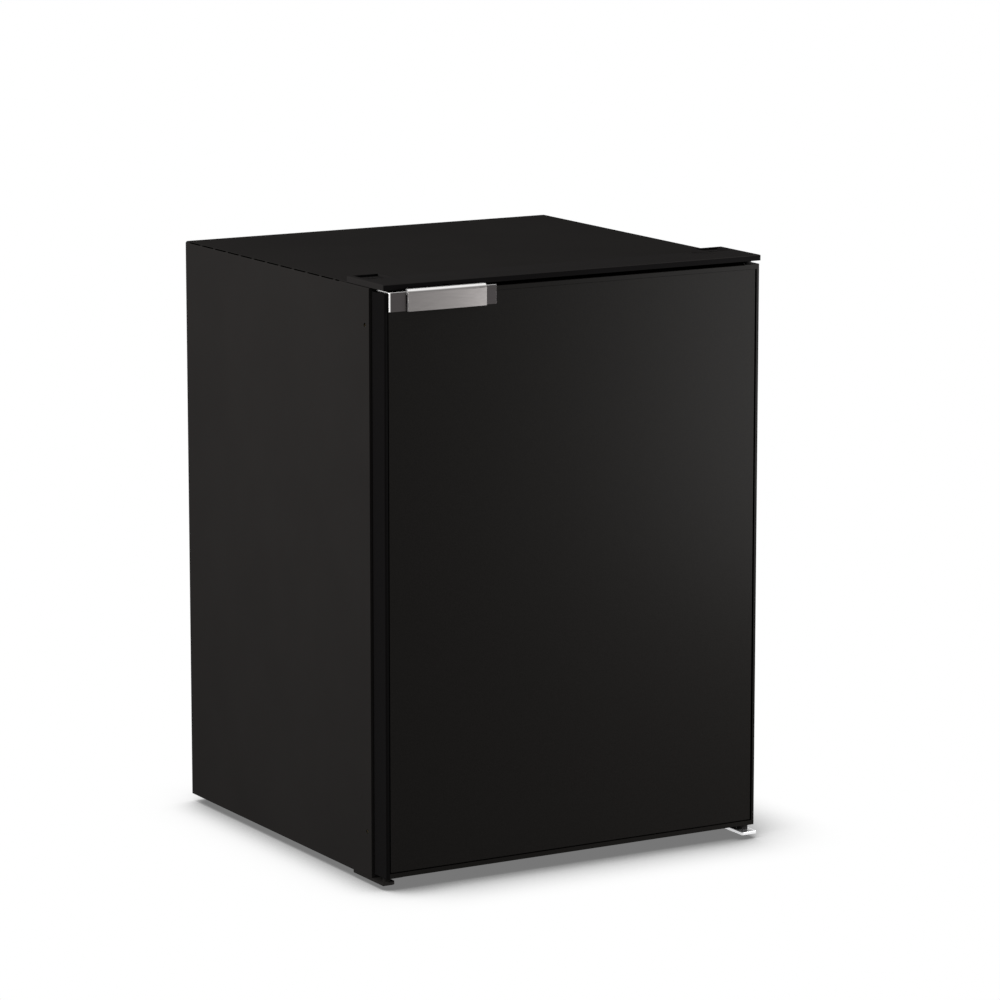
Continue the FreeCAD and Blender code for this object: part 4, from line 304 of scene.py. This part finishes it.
def black_sheet():
    """Powder coat on the left bracket and the base pan."""
    return powder_coat("black_sheet").material


def casing_black():
    """Powder coat on the casing, with painted shade inside its slots and on its inner faces behind its skin.
    """
    look = powder_coat("casing_black")
    # Painted shade: a near-black tone wherever the surface lies deeper than 0.4 mm inside the casing's box,
    # in its slots and behind its skin
    look.inside(*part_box("casing"), (0.0010, 0.0009, 0.0009))
    return look.material


def powder_coat(name):
    """Fine-grained black powder coat on sheet."""
    tone = (0.0215, 0.0200, 0.0192)
    return satin_black(name, tone, roughness=0.50, grain=0.0011, depth=0.00005, sheen=0.015)


def trim_plastic():
    """Moulded top trim, with painted shade in front: darker on its front than on its top and ends."""
    tone = (0.0044, 0.0040, 0.0041)
    look = satin_black("trim_plastic", tone, roughness=0.45, grain=0.0008, depth=0.00003, sheen=0.015)
    # Painted shade: the front keeps the dark tone, and faces turned away from front and back, the top and
    # ends, get the lighter one
    look.sides((0.0215, 0.0200, 0.0196))
    return look.material


def door_frame(name):
    """Satin extrusion, with painted shade on its sides: darker there than in front."""
    tone = (0.0074, 0.0067, 0.0061)
    look = satin_black(name, tone, roughness=0.36, grain=0.0007, depth=0.00002, sheen=0.07)
    # Painted shade: faces turned away from front and back, the sides, get a near-black tone
    look.sides((0.0014, 0.0010, 0.0011))
    return look


def frame_black():
    """Rails and right stile of the door frame."""
    return door_frame("frame_black").material


def stile_black():
    """Left stile, with painted shade on its front lip."""
    look = door_frame("stile_black")
    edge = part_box("door_stile_left")[0].x
    # Painted shade: a near-black tone on the front of the lip along the stile's left edge
    look.rim(0, edge + STILE_LIP, (0.0012, 0.0010, 0.0010))
    return look.material


def panel_black():
    """Door panel with a very fine speckled grain."""
    look = Look("panel_black", 0.46, specular=0.0)
    look.set("Coat Weight", 0.07)
    look.set("Coat Roughness", 0.36)
    speckle = look.noise(0.0013, detail=4.0)
    look.colour(speckle, (0.0060, 0.0054, 0.0049), (0.0102, 0.0093, 0.0086), low=0.30, high=0.72)
    look.soften(0.0005)
    look.bump(look.cells(0.0010), 0.00005)
    return look.material


def brushed(name, tone, roughness, along, drawn=60.0, edge=0.0004):
    """Brushed metal: fine scratches drawn out along one axis."""
    look = Look(name, roughness, metallic=1.0)
    stretch = [1.0, 1.0, 1.0]
    stretch[along] = drawn
    scratches = look.noise(0.00035, detail=3.0, stretch=stretch)
    look.colour(scratches, shade(tone, 0.94), shade(tone, 1.05), low=0.30, high=0.70)
    look.gloss(scratches, roughness * 0.9, roughness * 1.12)
    look.soften(edge)
    look.bump(scratches, 0.000003)
    return look


def handle_steel():
    """Brushed grip, grained along its length, with a painted highlight on its rolled edge and ends."""
    look = brushed("handle_steel", (0.154, 0.145, 0.142), roughness=0.34, along=0)
    # Painted highlight: a near-white tone on faces turned away from the front, the rolled edge and the ends
    look.sides((0.86, 0.85, 0.84), turned=0.75, square=0.92)
    return look.material


def base_steel():
    """Dark polished plate under the grip, with hairlines along its length and painted highlights on its
    edges.
    """
    look = brushed("base_steel", (0.060, 0.055, 0.055), roughness=0.18, along=0)
    # Painted highlight: a near-white tone on faces turned away from the front, the rounded edges and ends
    look.sides((0.84, 0.83, 0.82), turned=0.65, square=0.88)
    return look.material


def galvanised_sheet():
    """Zinc-coated sheet with faint crystal flowers."""
    look = Look("galvanised_sheet", 0.42, metallic=1.0)
    flowers = look.flakes(0.007)
    look.colour(flowers, (0.34, 0.35, 0.36), (0.40, 0.41, 0.42), low=0.0, high=1.0)
    look.gloss(flowers, 0.36, 0.48)
    look.soften(0.0003)
    return look.material


def polished_steel():
    """Bright satin plate and pin with hairline wear."""
    look = Look("polished_steel", 0.36, metallic=1.0)
    hairs = look.noise(0.0004, detail=3.0, stretch=(1.0, 40.0, 1.0))
    look.colour(hairs, (0.66, 0.66, 0.67), (0.76, 0.76, 0.76))
    look.gloss(hairs, 0.30, 0.42)
    look.soften(0.0006)
    return look.material


def screw_steel():
    """Blackened screws and hinge pins."""
    tone = (0.018, 0.017, 0.017)
    return satin_black(
        "screw_steel", tone, roughness=0.40, grain=0.0006, depth=0.00001, sheen=0.03, edge=0.0002
    ).material


def rubber(name, tone):
    """Matt rubber with a dusty bloom."""
    look = Look(name, 0.75, specular=0.2)
    bloom = look.noise(0.004, detail=4.0)
    look.colour(bloom, shade(tone, 0.85), shade(tone, 1.25))
    look.gloss(bloom, 0.68, 0.82)
    look.soften(0.0005)
    look.bump(look.noise(0.0006), 0.00003)
    return look.material


def rubber_black():
    """Feet, mounts and cable ring."""
    return rubber("rubber_black", (0.022, 0.022, 0.022))


def gasket_grey():
    """Soft door seal."""
    return rubber("gasket_grey", (0.045, 0.045, 0.046))


def foam():
    """Rigid foam with a closed skin of small cells."""
    look = Look("foam", 0.85, specular=0.2)
    look.colour(look.noise(0.012, detail=4.0), (0.66, 0.56, 0.34), (0.78, 0.69, 0.45))
    look.bump(look.cells(0.0022), 0.0004)
    return look.material


def moulded(name, tone, roughness, grain=0.0012, depth=0.00003, edge=0.0006):
    """Opaque moulded plastic: faint flow marks and a fine skin."""
    look = Look(name, roughness, specular=0.4)
    flow = look.noise(0.05, detail=3.0)
    look.colour(flow, shade(tone, 0.96), shade(tone, 1.03))
    look.gloss(look.noise(0.02, detail=3.0), roughness * 0.88, roughness * 1.15)
    look.soften(edge)
    look.bump(look.noise(grain), depth)
    return look.material


def liner_white():
    """Vacuum-formed liner and white housings."""
    return moulded("liner_white", (0.82, 0.83, 0.83), roughness=0.38)


def flap_white():
    """Freezer flap, a little cooler in tone."""
    return moulded("flap_white", (0.62, 0.67, 0.72), roughness=0.35)


def tray_white():
    """Drip tray and ice tray."""
    return moulded("tray_white", (0.76, 0.77, 0.78), roughness=0.45)


def knob_grey():
    """Thermostat knob."""
    return moulded("knob_grey", (0.24, 0.245, 0.25), roughness=0.42)


def unit_black():
    """Moulded machine pieces: control box, fan and grille."""
    return moulded("unit_black", (0.026, 0.026, 0.027), roughness=0.50, grain=0.0010, depth=0.00004)


def bolt_black():
    """Moulded latch bolt."""
    return moulded("bolt_black", (0.030, 0.030, 0.030), roughness=0.40)


def machine_black():
    """Enamel on the compressor's can, with slight sag in the coat."""
    look = Look("machine_black", 0.30, specular=0.4)
    sag = look.noise(0.015)
    look.colour(sag, (0.016, 0.016, 0.017), (0.026, 0.026, 0.027))
    look.gloss(sag, 0.24, 0.38)
    look.bump(sag, 0.0002)
    return look.material


def clear(name, tone, roughness, frost, ior):
    """See-through moulding or glass, frosted unevenly by a share."""
    look = Look(name, roughness)
    look.set("Transmission Weight", 1.0)
    look.set("IOR", ior)
    film = look.noise(0.03, detail=3.0)
    look.colour(film, shade(tone, 0.97), tone)
    look.gloss(film, roughness, roughness + frost)
    return look.material


def bin_clear():
    """Clear door bins and crisper."""
    return clear("bin_clear", (0.93, 0.955, 0.97), roughness=0.06, frost=0.06, ior=1.45)


def cover_glass():
    """Glass shelf over the crisper, green in its edge."""
    return clear("cover_glass", (0.80, 0.92, 0.87), roughness=0.02, frost=0.03, ior=1.50)


def lens_clear():
    """Frosted lamp cover."""
    return clear("lens_clear", (0.95, 0.95, 0.90), roughness=0.35, frost=0.20, ior=1.45)


def shelf_wire():
    """White coated wire with a slight sag in the coat."""
    look = Look("shelf_wire", 0.32, specular=0.45)
    coat = look.noise(0.008, detail=3.0)
    look.colour(coat, (0.72, 0.73, 0.73), (0.80, 0.80, 0.79))
    look.gloss(coat, 0.26, 0.40)
    look.bump(coat, 0.0001)
    return look.material


def evaporator_aluminium():
    """Rolled aluminium of the freezer box."""
    return brushed("evaporator_aluminium", (0.70, 0.71, 0.72), roughness=0.38, along=1).material


def fin_aluminium():
    """Condenser fins."""
    return brushed("fin_aluminium", (0.62, 0.63, 0.64), roughness=0.36, along=2).material


def copper():
    """Bare tube, darkened in places by brazing and handling."""
    look = Look("copper", 0.30, metallic=1.0)
    tarnish = look.noise(0.02, detail=4.0)
    look.colour(tarnish, (0.42, 0.19, 0.11), (0.78, 0.42, 0.27), low=0.32, high=0.60)
    look.gloss(tarnish, 0.24, 0.42)
    return look.material


FINISHES = [
    black_sheet, casing_black, trim_plastic, frame_black, stile_black, panel_black, handle_steel,
    base_steel, galvanised_sheet, polished_steel, screw_steel, rubber_black, gasket_grey, foam,
    liner_white, flap_white, tray_white, knob_grey, unit_black, bolt_black, machine_black, bin_clear,
    cover_glass, lens_clear, shelf_wire, evaporator_aluminium, fin_aluminium, copper,
]
MATERIALS = {finish.__name__: finish() for finish in FINISHES}
OWN_FINISHES = {"base_pan": "black_sheet", "casing": "casing_black", "door_stile_left": "stile_black"}


def dress_nodes():
    """Gives every CAD node its own finish, or else the finish of its material slot."""
    for row in frame["record"]["subparts"]:
        mesh = NODES[row["node"]].data
        mesh.materials.clear()
        mesh.materials.append(MATERIALS[OWN_FINISHES.get(row["node"], row["material_slot"])])


def add_piece(name, shell, body, slot, sharp=40.0):
    """Turns a shell into a piece that rides on a body, smooth except at sharp edges, with a slot's finish."""
    bmesh.ops.recalc_face_normals(shell, faces=shell.faces)
    mesh = bpy.data.meshes.new(name)
    shell.to_mesh(mesh)
    shell.free()
    mesh.shade_smooth()
    mesh.set_sharp_from_angle(angle=math.radians(sharp))
    mesh.materials.append(MATERIALS[slot])
    piece = bpy.data.objects.new(name, mesh)
    bpy.context.scene.collection.objects.link(piece)
    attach(piece, body)
    return piece


def join_rings(shell, first, second):
    """Closes the band between two rings of as many points."""
    count = len(first)
    for here in range(count):
        after = (here + 1) % count
        shell.faces.new((first[here], first[after], second[after], second[here]))


def cut_corners(points, times=2):
    """Cuts the corners of a closed outline, so that it turns smoothly."""
    for _ in range(times):
        pairs = zip(points, points[1:] + points[:1])
        shares = (CORNER_CUT, 1.0 - CORNER_CUT)
        points = [first.lerp(second, share) for first, second in pairs for share in shares]
    return points


def make_seal():
    """Door seal: a barbed dart, a flange with thin lips, folds and a magnet sleeve, mitred at its corners."""
    low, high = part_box("gasket")
    right = [Vector(point) * MILLIMETRE for point in SEAL_OUTLINE]
    left = [Vector((-point.x, point.y)) for point in reversed(right) if point.x > 0.0]
    section = cut_corners(right + left)
    shell = bmesh.new()
    rings = []
    for side_x, side_z in ((-1, -1), (1, -1), (1, 1), (-1, 1)):
        corner = Vector((high.x if side_x > 0 else low.x, low.y + SEAL_DART, high.z if side_z > 0 else low.z))
        offsets = [(SEAL_HALF + point.x, point.y) for point in section]
        rings.append([shell.verts.new(corner + Vector((-side_x * u, v, -side_z * u))) for u, v in offsets])
    for here, ring in enumerate(rings):
        join_rings(shell, ring, rings[(here + 1) % len(rings)])
    seal = add_piece("door_seal", shell, "door", "gasket_grey")
    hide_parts("gasket")


def shells(mesh):
    """The separate closed shells of a mesh, each as its points."""
    whole = bmesh.new()
    whole.from_mesh(mesh)
    bmesh.ops.remove_doubles(whole, verts=whole.verts, dist=SAME_PLACE)
    waiting = set(whole.verts)
    found = []
    while waiting:
        front = [waiting.pop()]
        group = []
        while front:
            vert = front.pop()
            group.append(vert.co.copy())
            near = {edge.other_vert(vert) for edge in vert.link_edges} & waiting
            waiting -= near
            front.extend(near)
        found.append(group)
    whole.free()
    return found


def off_axis(way, axis):
    """How far a vector reaches away from one axis."""
    across = way.copy()
    across[axis] = 0.0
    return across.length


def screw_seat(points):
    """Where the middle of a screw's head ends, and the turn that points Z out of the head."""
    low = Vector([min(values) for values in zip(*points)])
    high = Vector([max(values) for values in zip(*points)])
    axis = max(range(3), key=lambda index: high[index] - low[index])
    middle = (low + high) / 2
    head = [point - middle for point in points if off_axis(point - middle, axis) > HEAD_LEAST]
    out = Vector((0.0, 0.0, 0.0))
    out[axis] = math.copysign(1.0, sum(way[axis] for way in head))
    end = middle + out * (high[axis] - low[axis]) / 2
    return Matrix.Translation(end) @ Vector((0.0, 0.0, 1.0)).rotation_difference(out).to_matrix().to_4x4()


def cross_radius(angle):
    """How far a cross recess reaches in one direction."""
    across = max(abs(math.cos(angle)), SAME_PLACE)
    up = max(abs(math.sin(angle)), SAME_PLACE)
    arms = [(CROSS_REACH, CROSS_HALF), (CROSS_HALF, CROSS_REACH)]
    return max(min(x / across, y / up) for x, y in arms)


def screw_rings():
    """A screw from the recess's floor to its tip: the radius in each direction, and the height."""
    rings = [(lambda angle: CROSS_FLOOR * cross_radius(angle), -CROSS_DEPTH)]
    dome = HEAD_DOME * (CROSS_REACH / HEAD_RADIUS) ** 2
    rings.append((cross_radius, -dome))
    for share in HEAD_STEPS:
        rings.append((share * HEAD_RADIUS, -HEAD_DOME * share ** 2))
    rings += [(HEAD_RADIUS, -HEAD_SHOULDER), (HEAD_RADIUS, -HEAD_HEIGHT), (SHANK_CORE, -HEAD_HEIGHT)]
    turns = int(SHANK_LENGTH / THREAD_PITCH)
    for turn in range(turns):
        height = -HEAD_HEIGHT - turn * THREAD_PITCH
        rings.append((SHANK_CORE, height - THREAD_ROOT))
        rings.append((SHANK_RADIUS, height - THREAD_CREST))
    rings.append((SHANK_TIP, -HEAD_HEIGHT - SHANK_LENGTH))
    return rings


def make_screws():
    """Pan-head screws with a cross recess and a threaded shank, one in each place."""
    shell = bmesh.new()
    angles = [2 * math.pi * side / SCREW_SIDES for side in range(SCREW_SIDES)]
    for points in shells(NODES["screws"].data):
        place = screw_seat(points)
        rings = []
        for radius, height in screw_rings():
            spans = [radius(angle) if callable(radius) else radius for angle in angles]
            ring = [Vector((s * math.cos(a), s * math.sin(a), height)) for s, a in zip(spans, angles)]
            rings.append([shell.verts.new(place @ point) for point in ring])
        for first, second in zip(rings, rings[1:]):
            join_rings(shell, first, second)
        for ring in (rings[0], rings[-1]):
            bmesh.ops.poke(shell, faces=[shell.faces.new(ring)])
    screws = add_piece("cross_screws", shell, "cabinet", "screw_steel", sharp=30.0)
    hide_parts("screws")


def raised_shape(shell, outline, way):
    """A flat outline, thickened one way and as far the other way."""
    front = [shell.verts.new(point - way) for point in outline]
    back = [shell.verts.new(point + way) for point in outline]
    join_rings(shell, front, back)
    shell.faces.new(front)
    shell.faces.new(list(reversed(back)))


def dial_way(turn):
    """Direction from the dial's centre at a turn of the knob."""
    return Vector((-math.cos(turn), 0.0, math.sin(turn)))


def dial_bar(centre, turn, reach, half):
    """Outline of a straight mark that points away from the dial's centre."""
    out = dial_way(turn)
    side = Vector((out.z, 0.0, -out.x)) * half
    near, far = [centre + out * distance for distance in reach]
    return [near - side, near + side, far + side, far - side]


def make_spring():
    """Leaf spring under the latch's bolt: a foot and a rising leaf."""
    low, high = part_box("latch_spring")
    tip = high.y - SPRING_CURL
    corners = [
        (tip, low.z), (low.y, low.z), (tip, high.z), (high.y, high.z - SPRING_LEAF),
        (low.y + SPRING_BEND, low.z + SPRING_LEAF), (tip, low.z + SPRING_LEAF),
    ]
    middle = (low.x + high.x) / 2
    outline = cut_corners([Vector((middle, y, z)) for y, z in corners], times=3)
    strip = bmesh.new()
    raised_shape(strip, outline, Vector(((high.x - low.x) / 2, 0.0, 0.0)))
    spring = add_piece("bolt_spring", strip, "door", "galvanised_sheet")
    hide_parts("latch_spring")
    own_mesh(spring)


def dial_number(step, place):
    """One plain number, raised from the thermostat's housing."""
    letters = bpy.data.curves.new("dial_number_%d" % step, "FONT")
    letters.body = str(step)
    letters.size = DIAL_TEXT
    letters.align_x = "CENTER"
    letters.align_y = "CENTER"
    letters.extrude = DIAL_RAISE
    letters.materials.append(MATERIALS["unit_black"])
    number = bpy.data.objects.new(letters.name, letters)
    number.location = place
    number.rotation_euler = (math.pi / 2, 0.0, 0.0)
    bpy.context.scene.collection.objects.link(number)
    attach(number, "cabinet")


def make_dial():
    """Plain numbers and ticks round the thermostat's knob, and the pointer line on the knob."""
    low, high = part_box("thermostat_knob")
    middle = (low + high) / 2
    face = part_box("thermostat_housing")[0].y
    centre = Vector((middle.x, face, middle.z))
    raise_way = Vector((0.0, DIAL_RAISE, 0.0))
    ticks = bmesh.new()
    for step in range(DIAL_STEPS + 1):
        turn = DIAL_TURN * step / DIAL_STEPS
        raised_shape(ticks, dial_bar(centre, turn, DIAL_TICKS, DIAL_TICK_HALF), raise_way)
        dial_number(step, centre + dial_way(turn) * DIAL_NUMBERS)
    add_piece("dial_ticks", ticks, "cabinet", "unit_black")
    pointer = bmesh.new()
    tip = Vector((middle.x, low.y, middle.z))
    raised_shape(pointer, dial_bar(tip, 0.0, POINTER, POINTER_HALF), raise_way)
    add_piece("knob_pointer", pointer, "knob", "tray_white")


def seen_directly(tree):
    """Whether a ray comes from the camera, a mirror or a clear piece."""
    path = tree.nodes.new("ShaderNodeLightPath")
    total = path.outputs["Is Camera Ray"]
    for name in ("Is Glossy Ray", "Is Transmission Ray"):
        either = tree.nodes.new("ShaderNodeMath")
        either.operation = "MAXIMUM"
        tree.links.new(total, either.inputs[0])
        tree.links.new(path.outputs[name], either.inputs[1])
        total = either.outputs[0]
    return total


def mirrored(tree):
    """Whether a ray comes from a mirror, and not through a clear piece."""
    path = tree.nodes.new("ShaderNodeLightPath")
    less = tree.nodes.new("ShaderNodeMath")
    less.operation = "SUBTRACT"
    tree.links.new(path.outputs["Is Glossy Ray"], less.inputs[0])
    tree.links.new(path.outputs["Is Transmission Ray"], less.inputs[1])
    return less.outputs[0]


def soft_shadow(tree, lean, reach, closed, depth):
    """Level of the floor, from a depth where little of the sky is open, up to one where all of it is."""
    openness = tree.nodes.new("ShaderNodeAmbientOcclusion")
    openness.samples = SHADOW_SAMPLES
    openness.inputs["Distance"].default_value = reach
    normal = tree.nodes.new("ShaderNodeCombineXYZ")
    for axis, value in enumerate(lean):
        normal.inputs[axis].default_value = value
    tree.links.new(normal.outputs["Vector"], openness.inputs["Normal"])
    level = tree.nodes.new("ShaderNodeMapRange")
    level.interpolation_type = "SMOOTHSTEP"
    level.inputs["From Min"].default_value = closed
    level.inputs["To Min"].default_value = depth
    tree.links.new(openness.outputs["AO"], level.inputs["Value"])
    return level.outputs["Result"]


def make_floor():
    """Pale floor: white in mirrors and where it is open, darkening softly beside and below the object."""
    mesh = bpy.data.meshes.new("floor")
    corners = [(x, y, 0.0) for x, y in ((-1, -1), (1, -1), (1, 1), (-1, 1))]
    mesh.from_pydata([(x * FLOOR_HALF, y * FLOOR_HALF, z) for x, y, z in corners], [], [(0, 1, 2, 3)])
    floor = bpy.data.objects.new("floor", mesh)
    bpy.context.scene.collection.objects.link(floor)
    material = bpy.data.materials.new("floor_white")
    material.use_nodes = True
    material.cycles.emission_sampling = "NONE"
    tree = material.node_tree
    tree.nodes.remove(tree.nodes["Principled BSDF"])
    darker = tree.nodes.new("ShaderNodeMath")
    darker.operation = "MINIMUM"
    for order, settings in enumerate(SHADOWS):
        tree.links.new(soft_shadow(tree, *settings), darker.inputs[order])
    open_floor = tree.nodes.new("ShaderNodeMath")
    open_floor.operation = "MAXIMUM"
    glow = tree.nodes.new("ShaderNodeEmission")
    matt = tree.nodes.new("ShaderNodeBsdfDiffuse")
    matt.inputs["Color"].default_value = (FLOOR_BOUNCE, FLOOR_BOUNCE, FLOOR_BOUNCE, 1.0)
    mix = tree.nodes.new("ShaderNodeMixShader")
    tree.links.new(darker.outputs[0], open_floor.inputs[0])
    tree.links.new(mirrored(tree), open_floor.inputs[1])
    tree.links.new(open_floor.outputs[0], glow.inputs["Strength"])
    tree.links.new(seen_directly(tree), mix.inputs["Fac"])
    tree.links.new(matt.outputs["BSDF"], mix.inputs[1])
    tree.links.new(glow.outputs["Emission"], mix.inputs[2])
    tree.links.new(mix.outputs["Shader"], tree.nodes["Material Output"].inputs["Surface"])
    mesh.materials.append(material)


def make_world():
    """White surroundings for the camera and for reflections, softer light on matt surfaces."""
    world = bpy.data.worlds.new("studio")
    world.use_nodes = True
    bpy.context.scene.world = world
    tree = world.node_tree
    light = tree.nodes["Background"]
    light.inputs["Color"].default_value = (1.0, 1.0, 1.0, 1.0)
    level = tree.nodes.new("ShaderNodeMapRange")
    level.inputs["To Min"].default_value = AMBIENT
    tree.links.new(seen_directly(tree), level.inputs["Value"])
    tree.links.new(level.outputs["Result"], light.inputs["Strength"])


def make_softbox(name, place, target, width, height, radiance):
    """A rectangular lamp of one radiance, turned to a target and hidden from the camera."""
    lamp = bpy.data.lights.new(name, "AREA")
    lamp.shape = "RECTANGLE"
    lamp.size = width
    lamp.size_y = height
    lamp.energy = radiance * math.pi * width * height
    box = bpy.data.objects.new(name, lamp)
    box.location = place
    box.rotation_mode = "QUATERNION"
    box.rotation_quaternion = (Vector(target) - Vector(place)).to_track_quat("-Z", "Y")
    box.visible_camera = False
    bpy.context.scene.collection.objects.link(box)


def make_camera():
    """The camera at the photograph's place."""
    lens = bpy.data.cameras.new("camera")
    lens.sensor_width = CAMERA_SENSOR
    lens.lens = CAMERA_LENS
    lens.clip_end = CAMERA_REACH
    camera = bpy.data.objects.new("camera", lens)
    camera.location = CAMERA_PLACE
    camera.rotation_euler = (math.pi / 2 - CAMERA_PITCH, 0.0, -CAMERA_YAW)
    bpy.context.scene.collection.objects.link(camera)
    bpy.context.scene.camera = camera


dress_nodes()
make_seal()
make_screws()
make_spring()
make_dial()
make_floor()
make_world()
for box_name, settings in SOFTBOXES.items():
    make_softbox(box_name, *settings)
make_camera()
bpy.context.scene.view_settings.view_transform = "Standard"
